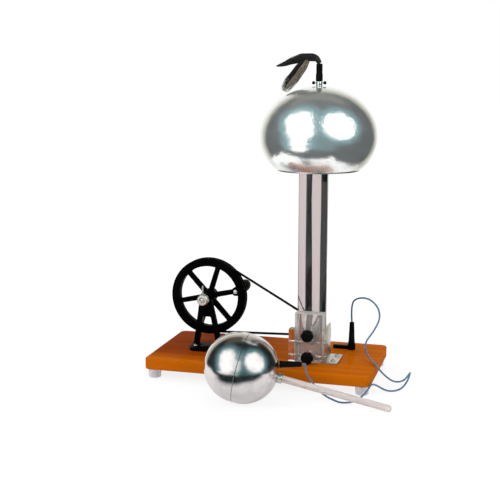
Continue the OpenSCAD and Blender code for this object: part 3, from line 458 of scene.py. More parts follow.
def sawn_acrylic(nodes):
    """The clamp block: clear through its front and back, and frosted white on its sawn sides."""
    place = nodes.placed(nodes.coords(), at=middle("clamp_block"))
    half = span("clamp_block") / 2
    near_side = abs(nodes.part(place, "X")).ease(half.x - 1.6 * MM, half.x - 0.9 * MM)
    near_end = abs(nodes.part(place, "Z")).ease(half.z - 1.6 * MM, half.z - 0.9 * MM)
    sawn = nodes.noise(nodes.placed(place, scale=(1, 8, 1)), 300.0, 3.0, 0.6)
    frosted = {
        "Base Color": nodes.mix(sawn.ease(0.35, 0.7), (0.97, 0.96, 0.93, 1), (0.82, 0.79, 0.72, 1)),
        "Transmission Weight": 0.5,
        "IOR": 1.2,
        "Roughness": sawn.ease(0.3, 0.7, 0.3, 0.5),
    }
    clear = clear_acrylic(nodes)
    clear["IOR"] = 1.25
    clear["Transmission Weight"] = 0.85
    return clear, frosted, near_side.larger(near_end)


def tinted_acrylic(nodes):
    """The column's upright, which takes a grey tint through its thickness."""
    tone = bpy.context.scene.generator_finish
    place = nodes.coords()
    handled = nodes.noise(place, 60.0, 5.0, 0.7)
    scratch = nodes.noise(nodes.placed(place, scale=(1, 1, 0.05)), 900.0, 2.0, 0.5)
    return {
        "Base Color": nodes.mix(handled.ease(0.4, 0.8) * 0.3, rgba(tone.acrylic), (0.49, 0.42, 0.41, 1)),
        "Transmission Weight": 1.0,
        "IOR": 1.49,
        "Roughness": handled.ease(0.4, 0.85, 0.0, 0.03),
        "Specular IOR Level": 0.08,
        "Normal": nodes.bump(scratch, 0.01, 0.0002),
    }


def rod_acrylic(nodes):
    """The wand's rod, dulled by handling."""
    handled = nodes.noise(nodes.coords(), 80.0, 5.0, 0.7)
    return {
        "Base Color": nodes.mix(handled.ease(0.4, 0.8) * 0.6, (0.78, 0.71, 0.68, 1), (0.62, 0.55, 0.50, 1)),
        "Transmission Weight": 0.5,
        "IOR": 1.3,
        "Roughness": handled.ease(0.3, 0.85, 0.16, 0.28),
    }


def clear_plastic(nodes):
    place = nodes.coords()
    cloud = nodes.noise(place, 160.0, 4.0, 0.6)
    return {
        "Base Color": nodes.mix(cloud.ease(0.4, 0.8), (0.84, 0.83, 0.86, 1), (0.74, 0.72, 0.76, 1)),
        "Transmission Weight": 0.45,
        "IOR": 1.46,
        "Roughness": cloud.ease(0.3, 0.8, 0.25, 0.4),
        "Normal": nodes.bump(cloud, 0.08, 0.0003),
    }


def white_plastic(nodes):
    place = nodes.coords()
    grime = nodes.noise(place, 70.0, 4.0, 0.6)
    turned = nodes.noise(nodes.placed(place, scale=(1, 9, 1)), 300.0, 2.0, 0.5)
    return {
        "Base Color": nodes.mix(grime.ease(0.45, 0.8) * 0.6, (0.80, 0.79, 0.76, 1), (0.62, 0.59, 0.54, 1)),
        "Roughness": grime.ease(0.3, 0.8, 0.3, 0.5),
        "Normal": nodes.bump(turned, 0.1, 0.0002),
    }


def hair_black(nodes):
    shade = nodes.noise(nodes.coords(), 420.0, 3.0, 0.6)
    return {
        "Base Color": nodes.mix(shade.ease(0.4, 0.75), (0.010, 0.009, 0.009, 1), (0.030, 0.025, 0.022, 1)),
        "Roughness": shade.ease(0.3, 0.8, 0.42, 0.6),
    }


def hair_brown(nodes):
    shade = nodes.noise(nodes.coords(), 420.0, 3.0, 0.6)
    return {
        "Base Color": nodes.mix(shade.ease(0.4, 0.75), (0.17, 0.14, 0.10, 1), (0.42, 0.37, 0.29, 1)),
        "Roughness": shade.ease(0.3, 0.8, 0.42, 0.6),
    }


def lead_plastic(nodes):
    place = nodes.coords()
    grime = nodes.noise(place, 90.0, 4.0, 0.6)
    return {
        "Base Color": nodes.mix(grime.ease(0.4, 0.8), (0.085, 0.185, 0.31, 1), (0.045, 0.10, 0.18, 1)),
        "Roughness": grime.ease(0.3, 0.8, 0.3, 0.46),
    }


MAKERS = {
    "varnished_wood": varnished_wood,
    "black_casting": black_paint,
    "black_plastic": black_plastic,
    "black_rubber": black_rubber,
    "belt_rubber": belt_rubber,
    "bright_steel": bright_steel,
    "bright_plate": bright_plate,
    "brass": brass,
    "aluminium": aluminium,
    "polished_shell": polished_shell,
    "spun_ball": spun_ball,
    "clear_acrylic": clear_acrylic,
    "sawn_acrylic": sawn_acrylic,
    "tinted_acrylic": tinted_acrylic,
    "rod_acrylic": rod_acrylic,
    "clear_plastic": clear_plastic,
    "white_plastic": white_plastic,
    "hair": hair_black,
    "hair_brown": hair_brown,
    "lead_pvc": lead_plastic,
}


# ---- Working by hand ----


def only(obj):
    """Selects that object alone and makes it the active one."""
    if bpy.context.object and bpy.context.object.mode != "OBJECT":
        bpy.ops.object.mode_set(mode="OBJECT")
    bpy.ops.object.select_all(action="DESELECT")
    obj.select_set(True)
    bpy.context.view_layer.objects.active = obj
    return obj


def edit(obj, select="SELECT"):
    only(obj)
    bpy.ops.object.mode_set(mode="EDIT")
    bpy.ops.mesh.select_all(action=select)


def done():
    bpy.ops.object.mode_set(mode="OBJECT")
    return bpy.context.object


def pick(obj, kind, test):
    """Selects the verts, edges or faces of obj that pass test, from edit mode, and stays in it."""
    bpy.ops.mesh.select_mode(type=kind)
    bpy.ops.mesh.select_all(action="DESELECT")
    bpy.ops.object.mode_set(mode="OBJECT")
    parts = {"VERT": obj.data.vertices, "EDGE": obj.data.edges, "FACE": obj.data.polygons}[kind]
    for part in parts:
        part.select = test(part)
    bpy.ops.object.mode_set(mode="EDIT")


def modify(obj, kind, **settings):
    """Adds a modifier with those settings and applies it."""
    only(obj)
    modifier = obj.modifiers.new(kind.title(), kind)
    for key, value in settings.items():
        setattr(modifier, key, value)
    bpy.ops.object.modifier_apply(modifier=modifier.name)
    return obj


def settle(obj):
    """Puts the object at the origin, with its place in its mesh."""
    only(obj)
    bpy.ops.object.transform_apply(location=True, rotation=True, scale=True)
    return obj


def smooth(obj, angle=32):
    only(obj)
    bpy.ops.object.shade_smooth_by_angle(angle=math.radians(angle))
    return obj


def outward(obj):
    """Turns all faces outwards."""
    edit(obj)
    bpy.ops.mesh.normals_make_consistent(inside=False)
    done()
    return obj


def hand_over(obj, name, body, slot, finish=None, nodes=()):
    """Names a finished piece, gives it its finish and its body, and hides the imported nodes that it stands
    for.
    """
    obj.name = name
    obj.data.name = name
    if not obj.data.materials:
        obj.data.materials.append(surface(finish or slot))
    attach(obj, body)
    if nodes:
        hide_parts(*nodes)
    return obj


def merged(node):
    """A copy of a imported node's mesh with its loose triangles joined into whole faces."""
    mesh = NODES[node].data.copy()
    obj = bpy.data.objects.new(node, mesh)
    bpy.context.scene.collection.objects.link(obj)
    mesh.materials.clear()
    edit(obj)
    bpy.ops.mesh.customdata_custom_splitnormals_clear()
    bpy.ops.mesh.remove_doubles(threshold=2e-6)
    bpy.ops.mesh.dissolve_limited(angle_limit=math.radians(0.6))
    done()
    return obj


def machined(node, body, slot, edge=0.3, finish=None, angle=32):
    """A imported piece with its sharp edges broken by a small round, in millimetres."""
    obj = merged(node)
    if edge:
        modify(
            obj,
            "BEVEL",
            width=edge * MM,
            segments=2,
            limit_method="ANGLE",
            angle_limit=math.radians(38),
            use_clamp_overlap=True,
        )
    smooth(obj, angle)
    return hand_over(obj, node + "_piece", body, slot, finish, [node])


def smooth_curve(name, points, radius, cyclic=False, sides=4):
    """A round cord along a smooth curve through points."""
    curve = bpy.data.curves.new(name, "CURVE")
    curve.dimensions = "3D"
    curve.bevel_depth = radius
    curve.bevel_resolution = sides
    curve.resolution_u = 6
    curve.use_fill_caps = not cyclic
    spline = curve.splines.new("BEZIER")
    spline.bezier_points.add(len(points) - 1)
    count = len(points)
    for i, point in enumerate(points):
        before = points[(i - 1) % count] if cyclic or i > 0 else point
        after = points[(i + 1) % count] if cyclic or i < count - 1 else point
        way = (Vector(after) - Vector(before)) / 6
        knot = spline.bezier_points[i]
        knot.co = point
        knot.handle_left = Vector(point) - way
        knot.handle_right = Vector(point) + way
    spline.use_cyclic_u = cyclic
    obj = bpy.data.objects.new(name, curve)
    bpy.context.scene.collection.objects.link(obj)
    return obj


def finer(points, steps):
    """More points along a smooth curve through points, as (x, y, z, ...) tuples."""
    count = len(points)
    line = []
    for i in range(count - 1):
        a, b, c, d = points[max(i - 1, 0)], points[i], points[i + 1], points[min(i + 2, count - 1)]
        for j in range(steps):
            t = j / steps
            line.append(tuple(
                (
                    2 * q + (r - p) * t + (2 * p - 5 * q + 4 * r - s) * t * t
                    + (3 * q - p - 3 * r + s) * t ** 3
                ) / 2
                for p, q, r, s in zip(a, b, c, d)
            ))
    line.append(tuple(points[-1]))
    return line


# ---- Values that a user would change ----


class GeneratorFinish(bpy.types.PropertyGroup):
    """Sizes and colours of the dressed generator."""

    wood_light: bpy.props.FloatVectorProperty(
        name="Wood, light", description="Pale bands of the varnished board", subtype="COLOR",
        default=(0.60, 0.150, 0.003), min=0, max=1,
    )
    wood_dark: bpy.props.FloatVectorProperty(
        name="Wood, dark", description="Dark bands of the varnished board", subtype="COLOR",
        default=(0.42, 0.080, 0.001), min=0, max=1,
    )
    # This red is painted shade towards the board's rear left, for the shade and dark reflection that fall
    # there, and also the colour of the grain's flecks
    wood_red_and_shade: bpy.props.FloatVectorProperty(
        name="Wood, stain", description="Red stain towards the board's rear left", subtype="COLOR",
        default=(0.15, 0.010, 0.001), min=0, max=1,
    )
    shell: bpy.props.FloatVectorProperty(
        name="Shell", description="Metal of the dome", subtype="COLOR",
        default=(0.90, 0.92, 0.91), min=0, max=1,
    )
    shell_roughness: bpy.props.FloatProperty(
        name="Shell roughness", description="Lowest roughness of the dome", default=0.09, min=0, max=1,
    )
    ball: bpy.props.FloatVectorProperty(
        name="Ball", description="Metal of the discharge ball", subtype="COLOR",
        default=(0.70, 0.67, 0.67), min=0, max=1,
    )
    ball_roughness: bpy.props.FloatProperty(
        name="Ball roughness", description="Lowest roughness of the discharge ball",
        default=0.14, min=0, max=1,
    )
    acrylic: bpy.props.FloatVectorProperty(
        name="Acrylic", description="Tint of the column's upright", subtype="COLOR",
        default=(0.55, 0.47, 0.46), min=0, max=1,
    )
    board_edge: bpy.props.FloatProperty(
        name="Board edge", description="Radius of the board's rounded top and bottom edges",
        default=1.6 * MM, min=0, unit="LENGTH",
    )
    strands: bpy.props.IntProperty(
        name="Strands", description="Number of strands in the plume of hair", default=420, min=20, max=2000,
    )
    strand_width: bpy.props.FloatProperty(
        name="Strand width", description="Thickness of a lock's strand at its root",
        default=0.9 * MM, min=0.1 * MM, unit="LENGTH",
    )


# ---- Stage and camera ----


class GENERATOR_OT_camera(bpy.types.Operator):
    """Sets the camera at the photograph's viewing angle"""

    bl_idname = "generator.camera"
    bl_label = "Camera"

    def execute(self, context):
        data = bpy.data.cameras.new("camera")
        data.lens = CAMERA_LENS
        data.sensor_width = 36
        data.shift_x, data.shift_y = CAMERA_SHIFT
        data.clip_end = 60
        camera = bpy.data.objects.new("camera", data)
        camera.location = CAMERA_AT
        camera.rotation_euler = (math.radians(90 - CAMERA_PITCH), 0, math.radians(CAMERA_TURN))
        context.scene.collection.objects.link(camera)
        context.scene.camera = camera
        return {"FINISHED"}


def floor_finish():
    """White where the camera looks; in gloss a white sheet under and behind the part, and dark before it."""
    material = bpy.data.materials.new("floor")
    material.use_nodes = True
    nodes = Nodes(material.node_tree)
    camera, glossy, clear = nodes.ray("Camera"), nodes.ray("Glossy"), nodes.ray("Transmission")
    place = nodes.placed(nodes.coords(), at=BOARD)
    across, deep = nodes.part(place, "X"), nodes.part(place, "Y")
    far = nodes.vector("LENGTH", place)
    wave = nodes.noise(place, 3.0, 2.0, 0.5) * 0.3 - 0.15
    spot = nodes.vector("DISTANCE", place, (*FLOOR_SPOT, -BOARD.z))
    sheet = (deep + wave).ease(-0.36, -0.27) * deep.ease(0.55, 0.45)
    sheet = sheet * abs(across + wave + 0.1).ease(0.54, 0.46)
    matt = nodes.add("ShaderNodeBsdfDiffuse", None, {"Color": (0.86, 0.86, 0.86, 1)})
    shown = nodes.glow("Emission", WHITE, 1.06)
    mirrored = nodes.glow("Emission", (0.98, 0.96, 0.94, 1), 1.2)
    through = nodes.add("ShaderNodeBsdfTransparent", None, {"Color": WHITE})
    seen = nodes.either(far.ease(0.25, 0.8, 0.8, 1.0), matt, shown)
    first = nodes.either(camera.larger(clear), matt, seen)
    by_ball = nodes.vector("DISTANCE", place, (BALL_AT.x - BOARD.x, BALL_AT.y - BOARD.y, -BOARD.z))
    paper = nodes.either(by_ball.ease(0.03, 0.30, 0.25, 0.9), matt, mirrored)
    dim = nodes.glow("Emission", (0.010, 0.024, 0.025, 1))
    near_front = far.ease(0.85, 0.72) * deep.ease(-0.1, -0.2)
    open_floor = nodes.either(near_front, through, dim)
    bright = sheet.larger((spot + wave * 0.6).ease(0.40, 0.24))
    gloss = nodes.either(bright, open_floor, paper)
    both = nodes.either(glossy * clear.ease(0.6, 0.4), first, gloss)
    nodes.add("ShaderNodeOutputMaterial", None, {"Surface": both})
    return material


def room():
    """White behind the part, and in gloss a dark room with two round soft boxes on the camera's side."""
    world = bpy.data.worlds.new("room")
    bpy.context.scene.world = world
    world.use_nodes = True
    nodes = Nodes(world.node_tree)
    camera, glossy, clear = nodes.ray("Camera"), nodes.ray("Glossy"), nodes.ray("Transmission")
    way = nodes.placed(nodes.coords("Generated"), turn=(0, 0, math.radians(-CAMERA_TURN)))
    depth, up = nodes.part(way, "Y"), nodes.part(way, "Z")
    ragged = nodes.noise(way, 6.5, 5.0, 0.7) * 0.2 - 0.1
    cloud = nodes.noise(way, 2.3, 3.0, 0.6)
    dark = nodes.mix(cloud.ease(0.4, 0.7), (0.010, 0.013, 0.012, 1), (0.030, 0.048, 0.045, 1))

    def toward(*box):
        return nodes.vector("DOT_PRODUCT", way, box)

    left = toward(*LEFT_BOX).larger(toward(*LEFT_BOX_TOP) - 0.02).larger(toward(*LEFT_BOX_FOOT) - 0.06)
    right = toward(*RIGHT_BOX) + 0.03
    core = left.larger(right) + ragged
    between = (toward(-0.05, -0.99, -0.1) + ragged).ease(0.6, 0.95) * 0.4
    halo = nodes.mix((core.ease(0.62, 0.88) * 0.85).larger(between), dark, (0.17, 0.39, 0.42, 1))
    lit = nodes.mix(core.ease(0.84, 0.92), halo, (1.5, 1.52, 1.5, 1))
    ceiling = nodes.mix(up.ease(0.72, 0.84) * depth.ease(0.16, 0.28), lit, (0.11, 0.105, 0.08, 1))
    pale = nodes.mix(depth.ease(0.70, 0.92), (0.50, 0.47, 0.37, 1), (0.97, 0.97, 0.93, 1))
    picture = nodes.mix(depth.ease(0.60, 0.70), ceiling, pale)
    light = nodes.glow("Background", (0.95, 0.96, 1.0, 1), 0.62)
    first = nodes.either(glossy, light, nodes.glow("Background", picture))
    last = nodes.either(camera.larger(clear), first, nodes.glow("Background", WHITE))
    nodes.add("ShaderNodeOutputWorld", None, {"Surface": last})


def soft_lamp(name, at, size, power):
    """A soft box that faces the part and isn't seen in the metal, where the room shows its own."""
    data = bpy.data.lights.new(name, "AREA")
    data.shape = "RECTANGLE"
    data.size, data.size_y = size
    data.energy = power
    lamp = bpy.data.objects.new(name, data)
    lamp.location = at
    lamp.rotation_euler = (Vector((0.02, 0, 0.25)) - Vector(at)).to_track_quat("-Z", "Y").to_euler()
    lamp.visible_glossy = False
    bpy.context.scene.collection.objects.link(lamp)


class GENERATOR_OT_stage(bpy.types.Operator):
    """Lays the floor, the room and the lamps"""

    bl_idname = "generator.stage"
    bl_label = "Stage"

    def execute(self, context):
        bpy.ops.object.select_all(action="DESELECT")
        bpy.ops.mesh.primitive_plane_add(size=30, location=(0, 0, 0))
        floor = context.object
        floor.name = "floor"
        floor.data.materials.append(floor_finish())
        room()
        soft_lamp("lamp_left", (-1.3, -1.7, 1.5), (1.0, 0.8), 22)
        soft_lamp("lamp_right", (1.6, -1.4, 1.2), (0.8, 0.8), 12)
        soft_lamp("lamp_top", (0.1, 0.5, 2.2), (1.6, 1.2), 12)
        context.scene.view_settings.view_transform = "Standard"
        return {"FINISHED"}


# ---- Pieces ----


class GENERATOR_OT_lead(bpy.types.Operator):
    """Runs the lead from the board's terminal to the ball's plug"""

    bl_idname = "generator.lead"
    bl_label = "Lead"

    def execute(self, context):
        start = from_board(148, 60, 37 + 11 + 42.5)
        turn = math.radians(PLUG_TURN)
        out = Vector((math.cos(turn), math.sin(turn), 0))
        end = BALL_AT + Vector((0, 0, PLUG_RISE)) + out * LEAD_END_OUT * MM
        way = [start] + [from_board(*point) for point in LEAD_ROUTE] + [end + out * 6 * MM, end]
        points = [Vector(point) for point in finer([tuple(point) for point in way], 2)]
        lead = smooth_curve("lead", points, LEAD_D / 2, sides=3)
        lead.data.use_fill_caps = True
        length = curve_length(points)
        hand_over(lead, "lead", "stand", "lead_pvc", nodes=["earth_lead"])
        plug = machined("ball_plug", "stand", "black_plastic", 0.3)
        pin = machined("ball_pin", "stand", "bright_plate", 0.2)
        return {"FINISHED"}


def curve_length(points):
    """Length of the smooth curve through points, by short chords."""
    line = finer([tuple(point) for point in points], 8)
    return sum((Vector(b) - Vector(a)).length for a, b in zip(line, line[1:]))


class GENERATOR_OT_base(bpy.types.Operator):
    """Makes the board and finishes its feet and screws"""

    bl_idname = "generator.base"
    bl_label = "Base board"

    def execute(self, context):
        size = span("base_board")
        bpy.ops.object.select_all(action="DESELECT")
        bpy.ops.mesh.primitive_cube_add(size=1, location=BOARD)
        board = context.object
        board.scale = size
        settle(board)
        edit(board)
        pick(board, "EDGE", lambda e: is_upright(board, e))
        bpy.ops.mesh.bevel(offset=12 * MM, segments=8, profile=0.5)
        done()
        modify(
            board, "BEVEL", width=context.scene.generator_finish.board_edge, segments=4,
            limit_method="ANGLE", angle_limit=math.radians(60),
        )
        smooth(board)
        hand_over(board, "board", "stand", "varnished_wood", nodes=["base_board"])
        machined("feet", "stand", "clear_plastic", 0.8)
        machined("foot_screws", "stand", "bright_steel", 0.15)
        return {"FINISHED"}


def is_upright(obj, edge):
    first, second = (obj.data.vertices[i].co for i in edge.vertices)
    return abs(first.z - second.z) > 5 * MM and abs(first.x - second.x) < 1e-5


class GENERATOR_OT_drive(bpy.types.Operator):
    """Finishes the stand, the axle, the wheel, the crank and the drive cord"""

    bl_idname = "generator.drive"
    bl_label = "Wheel and drive"

    def execute(self, context):
        machined("wheel_stand", "stand", "black_casting", 0.7)
        machined("stand_screws", "stand", "bright_steel", 0.15)
        machined("drive_axle", "stand", "bright_steel", 0.2)
        machined("axle_end_nut", "stand", "bright_steel", 0.3)
        machined("clamp_nut", "clamp", "bright_plate", 0.3, finish="aluminium")
        machined("tommy_bar", "clamp", "bright_plate", 0, finish="aluminium")
        machined("drive_wheel", "wheel", "black_casting", 0.8)
        machined("wheel_bush", "wheel", "brass", 0.2)
        machined("crank_pin", "wheel", "bright_steel", 0.2)
        machined("grip_cap", "wheel", "bright_steel", 0.2)
        machined("crank_grip", "grip", "black_plastic", 0.3, finish="black_casting")
        self.cord()
        return {"FINISHED"}

    def cord(self):
        """A closed round cord, straight between the wheel and the pulley."""
        hub, pulley = middle("wheel_bush"), middle("cord_pulley")
        y = pulley.y
        gap = Vector((pulley.x - hub.x, pulley.z - hub.z))
        slope = math.degrees(math.atan2(gap.y, gap.x))
        lean = math.degrees(math.asin((WHEEL_CORD_R - PULLEY_CORD_R) / gap.length))
        points = []
        for centre, radius, low, high, count in (
            ((hub.x, hub.z), WHEEL_CORD_R, slope + 90 - lean, slope + 270 + lean, 48),
            ((pulley.x, pulley.z), PULLEY_CORD_R, slope - 90 + lean, slope + 90 - lean, 16),
        ):
            for i in range(count + 1):
                a = math.radians(low + (high - low) * i / count)
                points.append((centre[0] + radius * math.cos(a), y, centre[1] + radius * math.sin(a)))
        cord = smooth_curve("drive_cord_piece", points, CORD_D / 2, cyclic=True, sides=3)
        for i in (0, 48, 49, len(points) - 1):
            knot = cord.data.splines[0].bezier_points[i]
            ahead = points[(i + 1) % len(points)]
            behind = points[i - 1]
            forward = Vector(ahead) - Vector(points[i])
            back = Vector(points[i]) - Vector(behind)
            way = forward.normalized() if forward.length > back.length else back.normalized()
            knot.handle_right = Vector(points[i]) + way * min(forward.length, back.length) / 3
            knot.handle_left = Vector(points[i]) - way * min(forward.length, back.length) / 3
        only(cord)
        bpy.ops.object.convert(target="MESH")
        cord = bpy.context.object
        smooth(cord, 60)
        hand_over(cord, "drive_cord_piece", "stand", "black_rubber", nodes=["drive_cord"])


class GENERATOR_OT_column(bpy.types.Operator):
    """Finishes the clear column, its blocks, the bracket and the clamp knobs"""

    bl_idname = "generator.column"
    bl_label = "Column"

    def execute(self, context):
        for node, finish in (
            ("upright", "tinted_acrylic"), ("clamp_block", "sawn_acrylic"), ("side_block", "clear_acrylic"),
        ):
            piece = machined(node, "stand", "clear_acrylic", 0.35, finish=finish)
            modify(piece, "DISPLACE", strength=-0.08 * MM, mid_level=0)
        machined("angle_bracket", "stand", "aluminium", 0.3)
        for node in ("side_screws", "leg_screws", "flange_screws"):
            machined(node, "stand", "bright_steel", 0.15)
        machined("upper_knob", "high_clamp", "black_plastic", 0.4)
        machined("upper_stud", "high_clamp", "bright_steel", 0.2)
        machined("lower_knob", "low_clamp", "black_plastic", 0.4)
        machined("lower_stud", "low_clamp", "bright_steel", 0.2)
        return {"FINISHED"}


class GENERATOR_OT_belt(bpy.types.Operator):
    """Finishes the rollers, the belt and the combs"""

    bl_idname = "generator.belt"
    bl_label = "Belt"

    def execute(self, context):
        machined("lower_axle", "low_shaft", "bright_steel", 0.3)
        machined("lower_collar", "low_shaft", "bright_steel", 0.3)
        machined("lower_roller", "low_shaft", "white_plastic", 0.3)
        machined("cord_pulley", "low_shaft", "black_plastic", 0.3)
        machined("upper_axle", "high_shaft", "bright_steel", 0.3)
        machined("upper_collar", "high_shaft", "bright_steel", 0.3)
        machined("upper_roller", "high_shaft", "aluminium", 0.3)
        machined("charge_belt", "stand", "black_rubber", 0, finish="belt_rubber")
        machined("lower_comb", "stand", "bright_steel", 0)
        machined("upper_comb", "stand", "bright_steel", 0)
        return {"FINISHED"}


class GENERATOR_OT_dome(bpy.types.Operator):
    """Spins the dome and finishes the ring that carries it"""

    bl_idname = "generator.dome"
    bl_label = "Dome"

    def execute(self, context):
        low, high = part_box("dome_shell")
        centre = (low + high) / 2
        radius = (high.x - low.x) / 2
        rim_r, mouth_r, wall, up, down = 76.4 * MM, 58 * MM, 1.2 * MM, 90.5 * MM, 57.5 * MM
        widest = low.z + down
        depth = down / math.sin(math.acos(rim_r / radius))
        bpy.ops.object.select_all(action="DESELECT")
        bpy.ops.mesh.primitive_uv_sphere_add(segments=144, ring_count=96, radius=radius, location=(0, 0, 0))
        dome = context.object
        edit(dome)
        pick(dome, "VERT", lambda v: v.co.z > 1e-5)
        bpy.ops.transform.resize(value=(1, 1, up / radius), center_override=(0, 0, 0))
        pick(dome, "VERT", lambda v: v.co.z < -1e-5)
        bpy.ops.transform.resize(value=(1, 1, depth / radius), center_override=(0, 0, 0))
        bpy.ops.mesh.select_all(action="SELECT")
        bpy.ops.mesh.bisect(plane_co=(0, 0, -down), plane_no=(0, 0, -1), use_fill=True, clear_outer=True)
        bpy.ops.mesh.select_mode(type="FACE")
        pick(dome, "FACE", lambda f: f.normal.z < -0.99 and abs(f.center.z + down) < 1e-4)
        bpy.ops.mesh.inset(thickness=rim_r - mouth_r)
        bpy.ops.mesh.delete(type="FACE")
        done()
        modify(
            dome, "BEVEL", width=2.2 * MM, segments=5, limit_method="ANGLE", angle_limit=math.radians(30),
        )
        dome.location = (centre.x, centre.y, widest)
        settle(dome)
        modify(dome, "SOLIDIFY", thickness=wall, offset=-1)
        smooth(dome, 40)
        hand_over(dome, "dome", "dome", "polished_shell", nodes=["dome_shell"])
        machined("carrier_ring", "stand", "aluminium", 0.4)
        machined("cleats", "stand", "clear_acrylic", 0.4)
        machined("cleat_screws", "stand", "bright_steel", 0.15)
        return {"FINISHED"}


class GENERATOR_OT_plume(bpy.types.Operator):
    """Lays the plume's hair and finishes what holds it"""

    bl_idname = "generator.plume"
    bl_label = "Plume"

    def execute(self, context):
        machined("plume_socket", "dome", "bright_plate", 0.4)
        machined("cross_pin", "dome", "bright_steel", 0.1)
        machined("pin_balls", "dome", "black_plastic", 0, angle=60)
        machined("plume_post", "dome", "bright_steel", 0.3)
        machined("plume_sleeve", "plume", "black_plastic", 0.3)
        self.hair(context)
        return {"FINISHED"}

    def hair(self, context):
        """Two locks of strands, each a thin tapered curve, the second lock partly brown."""
        values = context.scene.generator_finish
        low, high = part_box("plume_sleeve")
        root = Vector(((low.x + high.x) / 2, (low.y + high.y) / 2, high.z))
        rng = random.Random(7)
        locks = (
            ("hair", "hair", LOCK_LONG, 0.55, 1.0),
            ("hair_short", "hair", LOCK_SHORT, 0.24, 0.52),
            ("hair_pale", "hair_brown", LOCK_SHORT, 0.32, -0.3),
        )
        for name, finish, lock, share, lean in locks:
            line = finer(lock, 3)
            curve = bpy.data.curves.new(name, "CURVE")
            curve.dimensions = "3D"
            curve.bevel_depth = values.strand_width / 2
            curve.bevel_resolution = 0
            curve.resolution_u = 1
            for _ in range(int(values.strands * share)):
                self.strand(curve, line, root, rng, lean)
            obj = bpy.data.objects.new(name, curve)
            context.scene.collection.objects.link(obj)
            only(obj)
            bpy.ops.object.convert(target="MESH")
            obj = context.object
            smooth(obj, 80)
            hand_over(obj, name, "plume", "hair", finish, nodes=["plume_hair"])

    def strand(self, curve, line, root, rng, lean):
        angle = rng.uniform(0, 2 * math.pi)
        off = math.sqrt(rng.random()) * 0.88
        first = 0 if lean == 1.0 else rng.randint(0, 2)
        last = len(line) - 1 - int(rng.random() ** (2 if lean == 1.0 else 1.3) * 8)
        wave = rng.uniform(0, 6.28)
        curl = rng.uniform(0.1, 0.5)
        flare = 0 if lean == 1.0 else rng.uniform(-0.3, 0.7)
        across, rise = off * math.cos(angle), off * math.sin(angle)
        if lean != 1.0:
            rise = rise * (1 - abs(lean)) + lean
        points = []
        for i in range(first, last + 1):
            x, z, width = line[i]
            ahead, behind = line[min(i + 1, len(line) - 1)], line[max(i - 1, 0)]
            way = Vector((ahead[0] - behind[0], 0, ahead[1] - behind[1])).normalized()
            normal = Vector((way.z, 0, -way.x))
            if normal.z < 0:
                normal = -normal
            if i < 4 and lean == 1.0:
                normal = Vector((1, 0, 0)) * -1
            reach = width * (0.92 + flare * max(0, (i - first) / max(1, last - first) - 0.6))
            wobble = curl * math.sin(i * 0.55 + wave)
            place = Vector((x, 0, z)) + normal * (rise * reach + wobble) + Vector((0, across * reach, 0))
            points.append((root + place * MM, 1 - 0.75 * (i - first) / max(1, last - first)))
        spline = curve.splines.new("POLY")
        spline.points.add(len(points) - 1)
        for knot, (place, radius) in zip(spline.points, points):
            knot.co = (*place, 1)
            knot.radius = radius


def turned(angle, axis):
    """A turn of that many degrees about an axis."""
    return Matrix.Rotation(math.radians(angle), 4, axis)


def on_rod():
    """The ball's centre, with +Z along the rod."""
    turn = turned(ROD_TURN, "Z") @ turned(90 + ROD_DROOP, "Y")
    return Matrix.Translation(BALL_AT) @ turn


def on_plug():
    """The ball's socket, with +Z out of the ball from the ball's middle."""
    turn = turned(PLUG_TURN, "Z") @ turned(90, "Y")
    return Matrix.Translation(BALL_AT + Vector((0, 0, PLUG_RISE))) @ turn


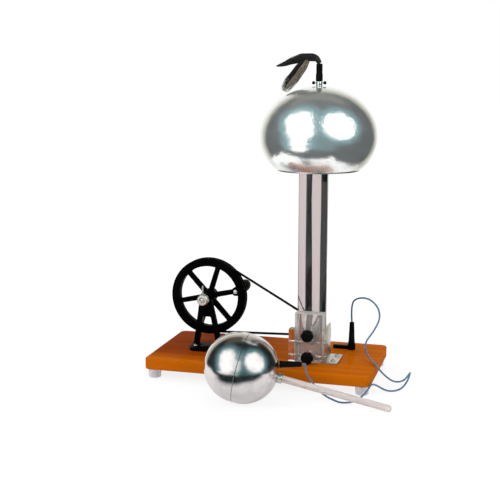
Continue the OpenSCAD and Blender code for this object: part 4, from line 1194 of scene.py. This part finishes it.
class GENERATOR_OT_wand(bpy.types.Operator):
    """Makes the ball's two half shells and finishes the rod"""

    bl_idname = "generator.wand"
    bl_label = "Discharge wand"

    def execute(self, context):
        near = self.half(context, 1)
        for radius, place in ((STEM_R, on_rod()), (SOCKET_R, on_plug())):
            self.bore(context, near, radius, place)
        smooth(near, 40)
        hand_over(near, "ball_near_piece", "wand", "polished_shell", "spun_ball", ["ball_near"])
        far = self.half(context, -1)
        smooth(far, 40)
        hand_over(far, "ball_far_piece", "wand", "polished_shell", "spun_ball", ["ball_far"])
        machined("ball_ferrule", "wand", "bright_plate", 0.3, finish="aluminium")
        machined("ball_socket", "wand", "brass", 0.2)
        machined("wand_rod", "wand", "clear_acrylic", 0, finish="rod_acrylic", angle=60)
        machined("earth_terminal", "stand", "black_plastic", 0.4)
        machined("terminal_socket", "stand", "brass", 0.2)
        machined("earth_plug", "stand", "black_plastic", 0.3)
        machined("earth_pin", "stand", "bright_plate", 0.2)
        return {"FINISHED"}

    def half(self, context, side):
        """Half of a round ball with a straight band, its lip drawn in at the seam."""
        bpy.ops.object.select_all(action="DESELECT")
        bpy.ops.mesh.primitive_uv_sphere_add(segments=128, ring_count=64, radius=BALL_R, location=(0, 0, 0))
        shell = context.object
        edit(shell)
        bpy.ops.mesh.bisect(plane_co=(0, 0, 0), plane_no=(0, 0, -1), clear_outer=True)
        pick(shell, "VERT", lambda v: True)
        bpy.ops.transform.translate(value=(0, 0, BALL_BAND / 2))
        pick(shell, "VERT", lambda v: v.co.z < BALL_BAND / 2 + 1e-5)
        bpy.ops.mesh.extrude_region_move(
            TRANSFORM_OT_translate={"value": (0, 0, 0.5 * MM - BALL_BAND / 2)}
        )
        bpy.ops.mesh.extrude_region_move(TRANSFORM_OT_translate={"value": (0, 0, -0.5 * MM)})
        lip = 1 - 0.45 * MM / BALL_R
        bpy.ops.transform.resize(value=(lip, lip, 1), center_override=(0, 0, 0))
        done()
        if side < 0:
            shell.scale = (1, 1, -1)
            settle(shell)
        outward(shell)
        modify(shell, "SOLIDIFY", thickness=BALL_WALL, offset=-1)
        shell.matrix_world = on_rod()
        return settle(shell)

    def bore(self, context, shell, radius, place):
        """Cuts a round hole through the shell along place's +Z."""
        bpy.ops.object.select_all(action="DESELECT")
        bpy.ops.mesh.primitive_cylinder_add(
            vertices=48, radius=radius, depth=2 * BALL_R, location=(0, 0, 0)
        )
        cutter = context.object
        cutter.location = (0, 0, BALL_R)
        settle(cutter)
        cutter.matrix_world = place
        settle(cutter)
        modify(shell, "BOOLEAN", operation="DIFFERENCE", solver="EXACT", object=cutter)
        bpy.data.objects.remove(cutter)


CLASSES = (
    GeneratorFinish,
    GENERATOR_OT_camera,
    GENERATOR_OT_lead,
    GENERATOR_OT_stage,
    GENERATOR_OT_base,
    GENERATOR_OT_drive,
    GENERATOR_OT_column,
    GENERATOR_OT_belt,
    GENERATOR_OT_dome,
    GENERATOR_OT_plume,
    GENERATOR_OT_wand,
)


class GENERATOR_PT_panel(bpy.types.Panel):
    """Lists the generator's values and steps"""

    bl_idname = "GENERATOR_PT_panel"
    bl_label = "Generator"
    bl_space_type = "VIEW_3D"
    bl_region_type = "UI"
    bl_category = "Generator"

    def draw(self, context):
        values = context.scene.generator_finish
        for name in GeneratorFinish.__annotations__:
            self.layout.prop(values, name)
        for operator in CLASSES[1:]:
            self.layout.operator(operator.bl_idname)


def register():
    for cls in (*CLASSES, GENERATOR_PT_panel):
        bpy.utils.register_class(cls)
    bpy.types.Scene.generator_finish = bpy.props.PointerProperty(type=GeneratorFinish)


def unregister():
    del bpy.types.Scene.generator_finish
    for cls in reversed((*CLASSES, GENERATOR_PT_panel)):
        bpy.utils.unregister_class(cls)


def main():
    register()
    for operator in CLASSES[1:]:
        group, name = operator.bl_idname.split(".")
        getattr(getattr(bpy.ops, group), name)()


if __name__ == "__main__":
    main()
